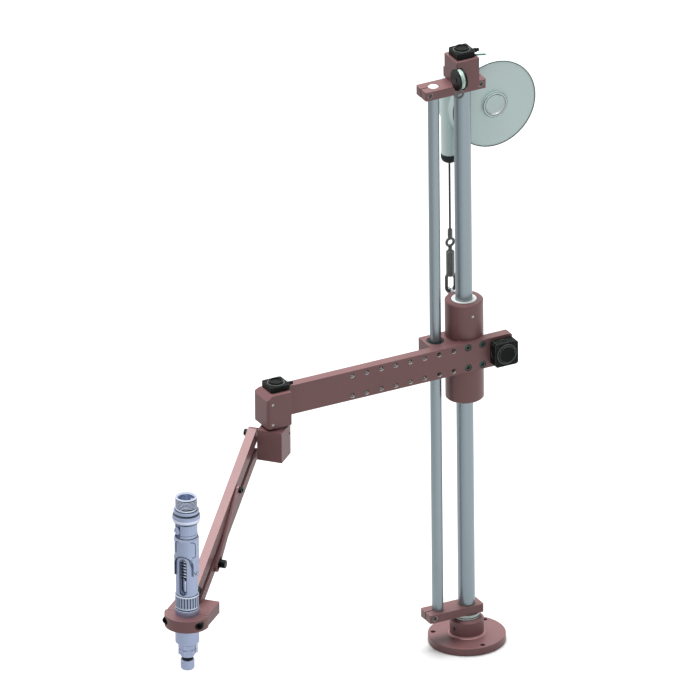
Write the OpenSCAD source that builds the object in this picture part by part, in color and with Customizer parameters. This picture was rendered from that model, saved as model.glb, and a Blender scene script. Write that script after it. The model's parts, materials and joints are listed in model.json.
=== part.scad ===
// Articulated tool arm on a column: a balanced carriage slides on the column, a level arm bar
// carries an elbow, and a parallelogram forearm holds an inline tool upright.
// The origin is the column's axis on the mounting face, +Z is up and the arm bar runs to -X.

/* [Base] */
// Radius of the mounting flange
flange_r = 68.5; // [60:0.5:80]
// Thickness of the mounting flange
flange_t = 14; // [10:0.5:20]
// Radius of the hub that holds the column
hub_r = 30; // [27:0.5:36]
// Height of the hub's top above the mounting face
hub_top = 46.5; // [40:0.5:60]
// Fillet at the foot of the hub
hub_fillet = 4; // [2:0.5:8]
// Chamfer at the top of the hub
hub_chamfer = 3.5; // [1:0.5:4]
// Radius of the bolt circle
base_bolt_r = 59; // [50:0.5:62]
// Radius of each bolt hole
base_hole_r = 4.5; // [3:0.1:5]
// Number of bolt holes
base_holes = 3; // [3:1:8]
// Solid floor under the column
base_floor = 6; // [4:0.5:9]
// Radius of the grub screws in the hub
grub_r = 4; // [3:0.5:5]

/* [Column and guide rod] */
// Radius of the column
column_r = 15; // [14:0.5:16]
// Wall of the column tube
column_wall = 5.8; // [4:0.2:7]
// Clear height between the two frame plates
column_clear = 1001.5; // [980:0.5:1100]
// Radius of the guide rod
rod_r = 10; // [8:0.5:11]
// Distance from the column's axis to the guide rod's axis
rod_offset = 57; // [56:0.5:60]

/* [Swing frame] */
// Height of the thrust bearing on the hub
thrust_h = 9.5; // [8:0.5:14]
// Outer radius of the thrust bearing
thrust_r = 23.5; // [22:0.5:26]
// Thickness of the lower frame plate
lower_plate_t = 15.5; // [12:0.5:20]
// Thickness of the upper frame plate
upper_plate_t = 17; // [12:0.5:20]
// Half width of the frame plates
plate_half_w = 19; // [18.5:0.5:24]
// Reach of the plates past the guide rod's axis
plate_rod_end = 24.5; // [22:0.5:30]
// Reach of the lower plate past the column's axis
lower_plate_end = 24.5; // [20:0.5:30]
// Reach of the upper plate past the column's axis
upper_plate_end = 38; // [34:0.5:44]
// Width of the clamping slits
slit_w = 2.4; // [1.5:0.1:3]
// Radius of the clamp screws
clamp_screw_r = 3; // [2.5:0.5:3.5]
// Distance of the rod clamp screw from the rod's axis
clamp_screw_off = 14.5; // [14:0.5:16]
// Wall of the plain bushes that turn on the column
bush_wall = 2; // [1.5:0.1:2.5]

/* [Top block and swing sensor] */
// Half width of the top block along the arm
top_half_x = 22.5; // [20:0.5:26]
// Half depth of the top block
top_half_y = 23.5; // [20:0.5:26]
// Height of the top block
top_h = 47; // [40:0.5:60]
// Side of the square sensor housings
sensor_side = 35.5; // [30:0.5:40]
// Height of the square sensor housings
sensor_h = 12; // [9:0.5:18]
// Radius of the round sensor caps
sensor_cap_r = 14; // [11:0.5:16]
// Height of the round sensor caps
sensor_cap_h = 4; // [2:0.5:6]
// Radius of the sensor shafts
sensor_shaft_r = 3; // [2:0.5:4]

/* [Pulley] */
// Radius of the sheave
sheave_r = 17.5; // [15:0.5:18]
// Width of the sheave
sheave_w = 7.8; // [6:0.2:10]
// Thickness of each pulley cheek
cheek_t = 3; // [2:0.2:4]
// Radius of the pulley cheeks
cheek_r = 19.5; // [19:0.5:22]

/* [Spring balancer] */
// Outer radius of the balancer housing
drum_case_r = 81.7; // [78:0.1:90]
// Width of the balancer housing
drum_case_w = 60; // [50:1:75]
// Wall of the balancer housing
drum_case_wall = 2.7; // [2:0.1:4]
// Distance from the column's axis to the cable, at right angles to the arm bar
cable_y = 50; // [49:0.5:56]
// Radius of the cable
cable_r = 2; // [1.5:0.1:2.5]
// Radius of the cable nozzle
nozzle_r = 14.5; // [13:0.5:18]
// Height of the balancer's axis
drum_z = 1016.7; // [1010:0.1:1020]
// Length of the nozzle below the balancer's axis
nozzle_drop = 95.7; // [90:0.1:110]
// Height of the rubber stop under the nozzle
stop_h = 14; // [8:0.5:20]

/* [Carriage] */
// Outer radius of the carriage sleeve
sleeve_r = 34; // [32:0.5:38]
// Length of the carriage sleeve
sleeve_h = 190; // [180:1:240]
// Height of the sleeve's lower end
sleeve_z = 474; // [440:1:480]
// Outer radius of the linear bearings in the sleeve
sleeve_bearing_r = 22.5; // [21:0.5:24]
// Length of the linear bearings in the sleeve
sleeve_bearing_h = 64; // [50:1:70]
// Outer radius of the linear bearing on the guide rod
rod_bearing_r = 16; // [14:0.5:17]
// Length of the linear bearing on the guide rod
rod_bearing_h = 42; // [30:1:50]

/* [Arm bar] */
// Distance from the column's axis to the elbow's axis
arm_reach = 392; // [370:1:440]
// Thickness of the arm bar
bar_t = 18; // [16:0.5:22]
// Height of the arm bar
bar_h = 56; // [50:0.5:64]
// Height of the arm bar's lower edge
bar_z = 541; // [535:1:560]
// Distance from the column's axis to the bar's back face
bar_back = 24; // [23.5:0.5:28]
// Reach of the bar past the column's axis
bar_end = 72.5; // [70:0.5:80]
// Pitch of the holes along the bar
hole_pitch = 28.7; // [26:0.1:30]
// Distance between the two rows of holes
row_pitch = 38.7; // [34:0.1:40]
// Radius of the holes in the bar
bar_hole_r = 4.5; // [3.5:0.1:5]
// Number of open hole pairs left of the carriage
open_pairs = 8; // [2:1:9]

/* [Travel sensor] */
// Side of the travel sensor's housing
travel_side = 45; // [38:0.5:46]
// Depth of the travel sensor's housing
travel_d = 20; // [14:0.5:24]
// Radius of the round front of the travel sensor
travel_boss_r = 17.5; // [14:0.5:18]
// Depth of the round front of the travel sensor
travel_boss_d = 3; // [2:0.5:6]
// Distance from the column's axis to the travel sensor's axis
travel_x = 51.5; // [50:0.5:52]

/* [Elbow] */
// Length of the elbow head away from the bar, from the elbow's axis
head_out = 31; // [28:0.5:36]
// Length of the elbow head towards the bar, from the elbow's axis
head_in = 15.5; // [15.5:0.5:20]
// Reach of the elbow head in front of the elbow's axis
head_front = 29; // [27:0.5:34]
// Reach of the elbow head behind the elbow's axis
head_back = 26; // [22:0.5:30]
// Corner radius of the elbow head
head_corner = 7; // [4:0.5:10]
// Height of the elbow head below the bar's lower edge
head_drop = 7; // [4:0.5:12]
// Height of the round boss under the elbow head
boss_h = 3; // [2:0.5:6]
// Radius of the round boss under the elbow head
boss_r = 26; // [24:0.5:28]
// Width of the slope along the head's outer upper edge
head_slope_out = 8; // [4:0.5:12]
// Width of the slope along the head's rear upper edge
head_slope_back = 8; // [4:0.5:8]
// Height of the slopes along the head's upper edges
head_slope_h = 10; // [5:0.5:14]
// Radius of the elbow shaft
elbow_shaft_r = 7.5; // [6:0.5:8]
// Outer radius of the elbow's ball bearings
elbow_bearing_r = 14; // [13:0.5:14]
// Width of the elbow's ball bearings
elbow_bearing_h = 7; // [6:0.5:10]
// Side of the elbow's square sensor
elbow_sensor_side = 38; // [32:0.5:40]
// Height of the elbow's square sensor
elbow_sensor_h = 10.5; // [9:0.5:16]
// Height of the washer between elbow head and forearm
elbow_washer_h = 1.5; // [1:0.1:3]
// Angle of the forearm from a straight arm, seen from above
forearm_yaw = 41.5; // [0:0.5:60]

/* [Forearm] */
// Radius of the forearm yoke round the elbow's axis
yoke_r = 25; // [24:0.5:28]
// Reach of the forearm yoke in front of the elbow's axis
yoke_front = 40; // [38:0.5:48]
// Distance of the yoke's link face from the elbow's axis
yoke_side = 21; // [17:0.5:23]
// Height of the forearm yoke
yoke_h = 57.5; // [56:0.5:64]
// Distance of the link pivots in front of the elbow's axis
pivot_a = 30.5; // [28:0.5:32]
// Height between the upper and lower link pivots
link_spacing = 37; // [36:0.5:40]
// Distance of the upper link pivot below the top of the yoke
pivot_below = 12.5; // [11:0.5:13]
// Length of the links from pivot to pivot
link_len = 340; // [300:1:380]
// Angle of the links below level
link_drop = 30; // [26:0.5:34]
// Width of the links
link_w = 16; // [12:0.5:18]
// Height of the upper link
upper_link_h = 22; // [18:0.5:22]
// Height of the lower link
lower_link_h = 17; // [14:0.5:17]
// Gap between the links and the yoke, filled by washers
link_gap = 3; // [2:0.2:5]
// Radius of the shoulder of the pivot screws
shoulder_r = 5; // [4:0.5:6]
// Radius of the pivot screws' heads
pivot_head_r = 6.5; // [6:0.1:7]
// Height of the pivot screws' heads
pivot_head_h = 8; // [5:0.5:9]

/* [Stay] */
// Distance of the stay's upper pin from the upper link pivot
stay_pin = 120; // [112:1:130]
// Distance of the stay's clamping stud from the lower link pivot
stay_stud = 238.3; // [230:0.1:250]
// Width of the stay
stay_w = 14.5; // [14.5:0.5:18]
// Thickness of the stay
stay_t = 5; // [4:0.2:6]
// Travel of the stud in the slot to each side
stay_travel = 9; // [9:0.5:12]
// Radius of the stay's upper pin and clamping stud
stud_r = 3; // [2.5:0.1:3]
// Radius of the clamping knob
knob_r = 7.5; // [6:0.5:9]
// Height of the clamping knob
knob_h = 12; // [8:0.5:14]

/* [Tool holder] */
// Distance from the link pivots to the tool's axis
tool_offset = 38; // [38:0.5:42]
// Height of the clamp round the tool
clamp_h = 22; // [20:0.5:26]
// Outer radius of the clamp's front half
clamp_r = 40; // [39:0.5:44]
// Half width of the clamp's rear half
rear_half_w = 38; // [36:0.5:42]
// Reach of the clamp's rear half behind the tool's axis
rear_len = 60; // [58:0.5:66]
// Distance of the clamp screws from the tool's axis
clamp_bolt_y = 32; // [31:0.5:33]
// Radius of the clamp screws
clamp_bolt_r = 4; // [3:0.5:4]
// Gap between the clamp's halves
clamp_gap = 1.2; // [0.6:0.1:2]

/* [Tool] */
// Radius of the tool's nose sleeve, where the clamp grips
nose_r = 21.2; // [20:0.1:22]
// Length of the nose sleeve
nose_h = 68; // [62:0.5:76]
// Length of the nose sleeve below the clamp
nose_below = 35; // [25:0.5:40]
// Radius of the tool's body
body_r = 19.5; // [18:0.1:20]
// Height of the outer shell's lower end above the nose sleeve
shell_rise = 66; // [60:1:70]
// Length of the outer shell
shell_h = 73; // [70:1:90]
// Length of the neck above the shell
neck_h = 26; // [22:1:34]
// Length of the bulged collar
collar_h = 26; // [22:1:34]
// Height of the knurled lock ring
ring_h = 25; // [18:1:28]
// Height of the window's lower end above the nose sleeve
window_rise = 32; // [30:1:34]
// Height of the window
window_h = 66; // [58:1:76]
// Wall of the tool's outer shell
shell_wall = 2.5; // [1.5:0.1:3]
// Radius of the chuck
chuck_r = 12.4; // [11:0.1:14]
// Height of the chuck
chuck_h = 30; // [25:0.5:36]
// Radius of the chuck's socket
socket_r = 3.7; // [3.2:0.1:4.5]
// Height of the hexagonal nose nut
nut_h = 22; // [18:0.5:26]
// Radius of the nose nut across its corners
nut_r = 16.3; // [15:0.1:17]
// Height of the threaded inlet
inlet_h = 23; // [20:0.5:28]
// Radius of the inlet's thread
inlet_r = 20.5; // [18:0.1:21.5]
// Number of thread ridges on the inlet
inlet_ridges = 5; // [3:1:7]
// Radius of the swelling of the collar
collar_r = 24.9; // [23:0.1:27]
// Width of the tool's window
window_w = 11; // [8:0.5:12]
// Number of curls of the return spring
spring_curls = 6; // [4:1:8]
// Wire radius of the return spring
spring_wire_r = 1.6; // [1.2:0.1:1.8]

/* [Hidden] */

$fn = 64;
// Overrun of the cuts past a face
over = 1;
// Clearance where a piece turns or slides on another
run_gap = 0.04;
// Clearance where a piece is fixed in a bore
fit_gap = 0.05;
// Clearance between two faces that rest on each other
seat_gap = 0.1;
// Clearance between pieces that move past each other
pass_gap = 0.6;
// Small chamfer on machined edges
edge = 1;
// Depth and across-corner radius of the hexagon sockets, as shares of a screw head
socket_depth_share = 0.5;
socket_radius_share = 0.55;
// Head radius and head height of a cap screw, as shares of its thread radius
head_radius_share = 1.625;
head_height_share = 2;

anodised = [0.47, 0.35, 0.35];
steel = [0.74, 0.78, 0.82];
black = [0.09, 0.09, 0.1];
pale = [0.86, 0.9, 0.9];
tool_blue = [0.67, 0.72, 0.83];

lower_plate_z = hub_top + thrust_h;
lower_plate_top = lower_plate_z + lower_plate_t;
upper_plate_z = lower_plate_top + column_clear;
upper_plate_top = upper_plate_z + upper_plate_t;
top_block_top = upper_plate_top + top_h;
column_in = column_r - column_wall;
rod_x = -rod_offset;
bush_r = column_r + bush_wall;
// Height of the column's upper end above the upper plate
column_rise = 20;
column_end = upper_plate_top + column_rise;

bar_top = bar_z + bar_h;
bar_mid = bar_z + bar_h / 2;
bar_front = -bar_back - bar_t;
elbow_x = -arm_reach;
elbow_y = -bar_back - bar_t * 2 / 3;
head_z = bar_z - head_drop;
boss_z = head_z - boss_h;
yoke_top = boss_z - elbow_washer_h;
yoke_z = yoke_top - yoke_h;
pivot_z = yoke_top - pivot_below;
link_n = -yoke_side - link_gap - link_w / 2;
link_side = link_n + link_w / 2;
link_far = link_n - link_w / 2;
tip_a = pivot_a + link_len * cos(link_drop);
tip_z = pivot_z - link_len * sin(link_drop);
clamp_z = tip_z - link_spacing - clamp_h / 2;
clamp_top = clamp_z + clamp_h;
nose_z = clamp_z - nose_below;
nose_top = nose_z + nose_h;
nut_z = nose_z - nut_h;
chuck_z = nut_z - chuck_h;
body_h = shell_rise + shell_h + neck_h + collar_h + edge;
body_top = nose_top + body_h;
sleeve_top = sleeve_z + sleeve_h;

// A ring or tube with its lower face at z
module tube(r_out, r_in, h, z = 0) {
    translate([0, 0, z]) difference() {
        cylinder(r = r_out, h = h);
        translate([0, 0, -over]) cylinder(r = r_in, h = h + 2 * over);
    }
}

// A block from one corner to the other
module block(low, high) {
    translate(low) cube(high - low);
}

// A cylinder along Y, from y0 to y1
module rod_y(r, y0, y1, x = 0, z = 0) {
    translate([x, y0, z]) rotate([-90, 0, 0]) cylinder(r = r, h = y1 - y0);
}

// A cylinder along X, from x0 to x1
module rod_x_axis(r, x0, x1, y = 0, z = 0) {
    translate([x0, y, z]) rotate([0, 90, 0]) cylinder(r = r, h = x1 - x0);
}

// A cap screw along +Z: the head's seat is at z = 0, the shank points down
module cap_screw(r, length, head_r = 0, head_h = 0) {
    hr = head_r > 0 ? head_r : r * head_radius_share;
    hh = head_h > 0 ? head_h : r * head_height_share;
    difference() {
        union() {
            cylinder(r = hr, h = hh);
            translate([0, 0, -length]) cylinder(r = r, h = length + hh / 2);
        }
        translate([0, 0, hh * (1 - socket_depth_share)])
            cylinder(r = hr * socket_radius_share, h = hh, $fn = 6);
    }
}

// A rounded rectangle from one corner to the other, with corner radius r
module rounded_plate(low, high, r, h) {
    block([low.x + r, low.y, 0], [high.x - r, high.y, h]);
    block([low.x, low.y + r, 0], [high.x, high.y - r, h]);
    for (x = [low.x + r, high.x - r], y = [low.y + r, high.y - r])
        translate([x, y, 0]) cylinder(r = r, h = h);
}

// A round bar bent into a ring, its axis along Z
module torus(ring_r, wire_r) {
    rotate_extrude() translate([ring_r, 0]) circle(r = wire_r, $fn = 24);
}

// Placed at the elbow's axis, with X along the forearm and Y to its right
module at_elbow() {
    translate([elbow_x, elbow_y, 0]) rotate([0, 0, 180 + forearm_yaw]) children();
}

// Placed at a link's first pivot, with X along the link
module at_link(z) {
    at_elbow() translate([pivot_a, 0, z]) rotate([0, link_drop, 0]) children();
}

// Placed at the tool's axis, with X away from the elbow
module at_tool() {
    at_elbow() translate([tip_a + tool_offset, link_n, 0]) children();
}

// Base

module base_flange() {
    color(anodised) difference() {
        rotate_extrude() difference() {
            union() {
                polygon([[0, 0], [flange_r - edge, 0], [flange_r, edge],
                    [flange_r, flange_t - edge], [flange_r - edge, flange_t], [0, flange_t]]);
                polygon([[0, 0], [hub_r, 0], [hub_r, hub_top - hub_chamfer],
                    [hub_r - hub_chamfer, hub_top], [0, hub_top]]);
                translate([hub_r, flange_t]) difference() {
                    square(hub_fillet);
                    translate([hub_fillet, hub_fillet]) circle(r = hub_fillet);
                }
            }
            translate([0, base_floor]) square([column_r + fit_gap, hub_top]);
        }
        for (i = [0 : base_holes - 1])
            rotate([0, 0, 30 + i * 360 / base_holes])
                translate([base_bolt_r, 0, -over]) cylinder(r = base_hole_r, h = flange_t + 2 * over);
        for (angle = grub_angles)
            rotate([0, 0, angle])
                rod_x_axis(grub_r + fit_gap, column_r, hub_r + over, 0, grub_z);
    }
}

grub_angles = [75, 195];
grub_z = (flange_t + hub_top) / 2;

module hub_grub_screws() {
    color(black)
        for (angle = grub_angles)
            rotate([0, 0, angle]) difference() {
                rod_x_axis(grub_r, column_r + seat_gap, hub_r - edge, 0, grub_z);
                translate([hub_r - grub_r, 0, grub_z]) rotate([0, 90, 0])
                    cylinder(r = grub_r * socket_radius_share, h = grub_r, $fn = 6);
            }
}

module column() {
    color(steel) tube(column_r, column_in, column_end - base_floor, base_floor);
}

// Depth of the plug in the column's upper end, and of its flange
plug_depth = 30;
plug_flange = 4;

module column_plug() {
    color(steel) {
        translate([0, 0, column_end - plug_depth])
            cylinder(r = column_in - fit_gap, h = plug_depth);
        translate([0, 0, column_end]) cylinder(r = column_r - edge, h = plug_flange);
        translate([0, 0, column_end])
            cylinder(r = sensor_shaft_r, h = top_block_top - column_end + sensor_h / 2);
    }
}

// Thickness of each race of the thrust bearing
race_h = thrust_h * 0.32;

module thrust_race() {
    color(steel) tube(thrust_r, column_r + fit_gap, race_h, hub_top);
}

// The upper race turns on balls that a cage keeps apart
module thrust_bearing() {
    ball_r = (thrust_h - 2 * race_h) / 2;
    mid_r = (thrust_r + column_r) / 2 + edge / 2;
    mid_z = hub_top + thrust_h / 2;
    balls = floor(PI * mid_r / (ball_r * 1.6));
    color(steel) {
        tube(thrust_r, bush_r, race_h, hub_top + thrust_h - race_h);
        difference() {
            tube(mid_r + ball_r * 1.4, mid_r - ball_r * 1.4, ball_r, mid_z - ball_r / 2);
            for (i = [0 : balls - 1])
                rotate([0, 0, i * 360 / balls])
                    translate([mid_r, 0, mid_z - ball_r]) cylinder(r = ball_r, h = 2 * ball_r);
        }
        for (i = [0 : balls - 1])
            rotate([0, 0, i * 360 / balls])
                translate([mid_r, 0, mid_z]) sphere(r = ball_r - run_gap, $fn = 24);
    }
}

// Swing frame

// The screw's bore across a slit, with a counterbore for the head at the front
module clamp_bore(x, z) {
    head_r = clamp_screw_r * head_radius_share;
    head_h = clamp_screw_r * head_height_share;
    rod_y(clamp_screw_r + fit_gap, -plate_half_w - over, plate_half_w - bush_wall, x, z);
    rod_y(head_r + 4 * fit_gap, -plate_half_w - over, -plate_half_w + head_h, x, z);
}

// One frame plate from its rod end to its column end
module frame_plate(z, thick, reach) {
    difference() {
        translate([0, 0, z])
            rounded_plate([rod_x - plate_rod_end, -plate_half_w], [reach, plate_half_w],
                edge * 3, thick);
        translate([0, 0, z - over]) cylinder(r = bush_r + fit_gap, h = thick + 2 * over);
        translate([rod_x, 0, z - over]) cylinder(r = rod_r + fit_gap, h = thick + 2 * over);
        block([rod_x - plate_rod_end - over, -slit_w / 2, z - over],
            [rod_x, slit_w / 2, z + thick + over]);
        clamp_bore(rod_x - clamp_screw_off, z + thick / 2);
    }
}

module lower_plate() {
    color(anodised) frame_plate(lower_plate_z, lower_plate_t, lower_plate_end);
}

column_clamp_x = (bush_r + upper_plate_end) / 2 + edge;

module upper_plate() {
    color(anodised) difference() {
        frame_plate(upper_plate_z, upper_plate_t, upper_plate_end);
        block([bush_r, -slit_w / 2, upper_plate_z - over],
            [upper_plate_end + over, slit_w / 2, upper_plate_top + over]);
        clamp_bore(column_clamp_x, upper_plate_z + upper_plate_t / 2);
    }
}

module column_bush(z, h) {
    color([0.72, 0.58, 0.36]) tube(bush_r, column_r + run_gap, h, z);
}

module lower_bush() {
    column_bush(lower_plate_z, lower_plate_t);
}

module upper_bush() {
    column_bush(upper_plate_z, upper_plate_t);
}

module guide_rod() {
    color(steel) translate([rod_x, 0, 0]) rotate_extrude() polygon([
        [0, lower_plate_z], [rod_r, lower_plate_z], [rod_r, upper_plate_top - 1.5 * edge],
        [rod_r - 1.5 * edge, upper_plate_top], [0, upper_plate_top]]);
}

module plate_clamp_screws() {
    length = 2 * plate_half_w - clamp_screw_r * head_height_share - 2 * bush_wall;
    color(black)
        for (p = [[rod_x - clamp_screw_off, lower_plate_z + lower_plate_t / 2],
                [rod_x - clamp_screw_off, upper_plate_z + upper_plate_t / 2],
                [column_clamp_x, upper_plate_z + upper_plate_t / 2]])
            translate([p.x, -plate_half_w + clamp_screw_r * head_height_share, p.y])
                rotate([90, 0, 0]) cap_screw(clamp_screw_r, length);
}

module top_block() {
    color(anodised) difference() {
        translate([0, 0, upper_plate_top])
            rounded_plate([-top_half_x, -top_half_y], [top_half_x, top_half_y], edge, top_h);
        translate([0, 0, upper_plate_top - over])
            cylinder(r = column_r + edge, h = column_rise + plug_flange + edge + over);
        translate([0, 0, upper_plate_top]) cylinder(r = sensor_shaft_r + edge, h = top_h + over);
        for (side = [-1, 1])
            translate([side * (top_half_x - bush_wall * 2), -top_half_y + bush_wall * 2,
                    top_block_top - plug_depth / 2])
                cylinder(r = clamp_screw_r / 2, h = plug_depth);
    }
}

// A square sensor with trimmed corners and a round cap, its seat at z = 0
module square_sensor(side, h, cap_r, cap_h) {
    trim = side / 14;
    difference() {
        union() {
            linear_extrude(h) polygon([
                [-side / 2 + trim, -side / 2], [side / 2 - trim, -side / 2],
                [side / 2, -side / 2 + trim], [side / 2, side / 2 - trim],
                [side / 2 - trim, side / 2], [-side / 2 + trim, side / 2],
                [-side / 2, side / 2 - trim], [-side / 2, -side / 2 + trim]]);
            translate([0, 0, h]) cylinder(r1 = cap_r, r2 = cap_r - cap_h / 2, h = cap_h);
        }
        translate([0, 0, h + cap_h / 2]) cylinder(r = cap_r - cap_h, h = cap_h);
        translate([0, 0, -over]) cylinder(r = sensor_shaft_r + edge / 2, h = h * 0.6 + over);
        for (x = [-1, 1], y = [-1, 1])
            translate([x * (side / 2 - 1.7 * trim), y * (side / 2 - 1.7 * trim), h - edge * 2])
                cylinder(r = trim * 0.6, h = edge * 2 + over);
    }
}

// A cable gland and a pale tab with its screw, beside a square sensor on the +X side
module sensor_fittings(side, h) {
    gland_r = h * 0.34;
    tab_w = side * 0.3;
    color(black) rod_x_axis(gland_r, side / 2, side / 2 + gland_r * 2, -side / 8, h / 2);
    color(black) rod_x_axis(gland_r * 0.75, side / 2 + gland_r * 2, side / 2 + gland_r * 3.2,
        -side / 8, h / 2);
    color(pale) {
        block([side / 2, side / 8, 0], [side / 2 + tab_w, side / 8 + tab_w, edge]);
        block([side / 2, side / 8, 0], [side / 2 + edge, side / 8 + tab_w, h * 0.7]);
        translate([side / 2 + tab_w * 0.6, side / 8 + tab_w / 2, edge])
            cylinder(r = tab_w * 0.25, h = edge * 1.5);
    }
}

module swing_sensor() {
    color(black) translate([0, 0, top_block_top])
        square_sensor(sensor_side, sensor_h, sensor_cap_r, sensor_cap_h);
}

module swing_sensor_fittings() {
    translate([0, 0, top_block_top]) sensor_fittings(sensor_side, sensor_h);
}

// Pulley in front of the top block, its axis along X

pulley_x = -top_half_x - cheek_t - sheave_w / 2;
pulley_y = -top_half_y - cheek_r - 2.5 * edge;
pulley_z = upper_plate_top + top_h * 0.55;
pulley_pin_r = 4;
pulley_ear_t = 5;
// Ring and wire radius of the eye under the pulley
pulley_eye_r = 8;
pulley_eye_wire = 2;

module pulley_bracket() {
    inner = sheave_w / 2 + seat_gap * 2;
    eye_z = pulley_z - sheave_r - pulley_eye_r - pulley_eye_wire - edge / 2;
    color(black) {
        rod_x_axis(cheek_r, pulley_x - inner - cheek_t, pulley_x - inner, pulley_y, pulley_z);
        rod_x_axis(cheek_r, pulley_x + inner, pulley_x + inner + cheek_t, pulley_y, pulley_z);
        block([pulley_x + inner, pulley_y, pulley_z - cheek_r / 2],
            [-top_half_x + pulley_ear_t, -top_half_y, pulley_z + cheek_r / 3]);
        rod_x_axis(pulley_pin_r, pulley_x - inner - cheek_t - edge,
            pulley_x + inner + cheek_t, pulley_y, pulley_z);
    }
    color(steel) {
        translate([pulley_x, pulley_y, eye_z]) rotate([90, 0, 0])
            torus(pulley_eye_r, pulley_eye_wire);
        block([pulley_x - inner - cheek_t, pulley_y - pulley_eye_wire,
                eye_z + pulley_eye_r - pulley_eye_wire / 2],
            [pulley_x + inner + cheek_t, pulley_y + pulley_eye_wire,
                pulley_z - sheave_r - edge / 2]);
    }
}

module pulley_sheave() {
    groove = sheave_w * 0.3;
    color(pale) translate([pulley_x, pulley_y, pulley_z]) rotate([0, 90, 0])
        translate([0, 0, -sheave_w / 2]) rotate_extrude() polygon([
            [pulley_pin_r + run_gap, 0], [sheave_r, 0], [sheave_r, edge],
            [sheave_r - groove, sheave_w / 2], [sheave_r, sheave_w - edge],
            [sheave_r, sheave_w], [pulley_pin_r + run_gap, sheave_w]]);
}

// Spring balancer, its axis along Y; the cable leaves it straight down

drum_r = drum_case_r - drum_case_wall - 7.5;
drum_x = drum_r + cable_r;
case_front = cable_y - drum_case_w / 2;
case_back = cable_y + drum_case_w / 2;
case_in = drum_case_r - drum_case_wall;
drum_axle_r = 8;
drum_half_w = 9;
hub_ring_r = 23.3;
hub_ring_in = 19.6;
hub_floor_r = 17;
hub_rise = 5.5;
hub_recess = 3.7;
lug_t = 12;
lug_x = 10;
lug_half_x = 12;
lug_pin_z = upper_plate_top - 6 * edge;
stem_top = upper_plate_z - 8 * edge;
lug_pin_r = 4;
shelf_t = 6;
nozzle_bottom = drum_z - nozzle_drop;

module balancer_housing() {
    color(pale) difference() {
        union() {
            rod_y(drum_case_r, case_front, case_back, drum_x, drum_z);
            translate([0, cable_y, nozzle_bottom])
                cylinder(r = nozzle_r, h = stem_top - nozzle_bottom);
            block([lug_x - lug_half_x, cable_y - lug_t / 2, drum_z],
                [lug_x + lug_half_x, cable_y + lug_t / 2, lug_pin_z]);
            rod_y(lug_half_x, cable_y - lug_t / 2, cable_y + lug_t / 2, lug_x, lug_pin_z);
        }
        rod_y(case_in, case_front + drum_case_wall + seat_gap, case_back - drum_case_wall,
            drum_x, drum_z);
        rod_y(case_in - drum_case_wall, case_front - over, case_back - drum_case_wall,
            drum_x, drum_z);
        rod_y(case_in, case_front - over, case_front + drum_case_wall + 2 * seat_gap,
            drum_x, drum_z);
        rod_y(drum_axle_r + fit_gap, case_front, case_back + over, drum_x, drum_z);
        translate([0, cable_y, nozzle_bottom - over])
            cylinder(r = cable_r + 2 * edge, h = nozzle_drop + over);
        rod_y(lug_pin_r + fit_gap, case_front, case_back, lug_x, lug_pin_z);
    }
}

module balancer_cover() {
    ring_front = case_front - hub_rise;
    color(pale) difference() {
        union() {
            rod_y(case_in - fit_gap, case_front, case_front + drum_case_wall, drum_x, drum_z);
            rod_y(hub_ring_r, ring_front, case_front + 2 * drum_case_wall, drum_x, drum_z);
        }
        translate([drum_x, ring_front, drum_z]) rotate([-90, 0, 0])
            cylinder(r1 = hub_ring_in, r2 = hub_floor_r, h = hub_recess);
        rod_y(drum_axle_r + fit_gap, axle_front, cable_y, drum_x, drum_z);
    }
}

axle_front = case_front + drum_case_wall / 2;

module balancer_axle() {
    color(steel) {
        rod_y(drum_axle_r, axle_front + seat_gap, case_back + edge, drum_x, drum_z);
        rod_y(drum_axle_r * 1.4, case_back, case_back + 2 * edge, drum_x, drum_z);
    }
}

// The drum that winds the cable, a rim and a web on a hub
module cable_drum() {
    rim_in = drum_r - 5 * edge;
    hub = drum_axle_r * 1.8;
    color(steel) difference() {
        union() {
            rod_y(drum_r, cable_y - drum_half_w, cable_y + drum_half_w, drum_x, drum_z);
            for (side = [-1, 1])
                rod_y(drum_r + 2 * cable_r, cable_y + side * drum_half_w - edge,
                    cable_y + side * drum_half_w + edge, drum_x, drum_z);
        }
        difference() {
            rod_y(rim_in, cable_y - drum_half_w - 2 * over, cable_y + drum_half_w - 3 * edge,
                drum_x, drum_z);
            rod_y(hub, cable_y - drum_half_w - 3 * over, cable_y + drum_half_w, drum_x, drum_z);
        }
        rod_y(drum_axle_r + run_gap, case_front, case_back, drum_x, drum_z);
    }
}

// A flat spiral from the drum's hub to its rim
spiral_turns = 6;
spiral_steps = 144;
spiral_t = 1.6;
spiral_in = drum_axle_r * 1.8 + 0.3;
spiral_out = drum_r - 5 * edge - spiral_t - 0.3;
function spiral_point(i, shift) =
    let (share = i / spiral_steps, r = spiral_in + (spiral_out - spiral_in) * share + shift,
        angle = 360 * spiral_turns * share)
    [r * cos(angle), r * sin(angle)];

module power_spring() {
    color(steel) translate([drum_x, cable_y + drum_half_w - 4 * edge, drum_z])
        rotate([90, 0, 0]) linear_extrude(drum_half_w) polygon(concat(
            [for (i = [0 : spiral_steps]) spiral_point(i, 0)],
            [for (i = [spiral_steps : -1 : 0]) spiral_point(i, spiral_t)]));
}

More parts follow.
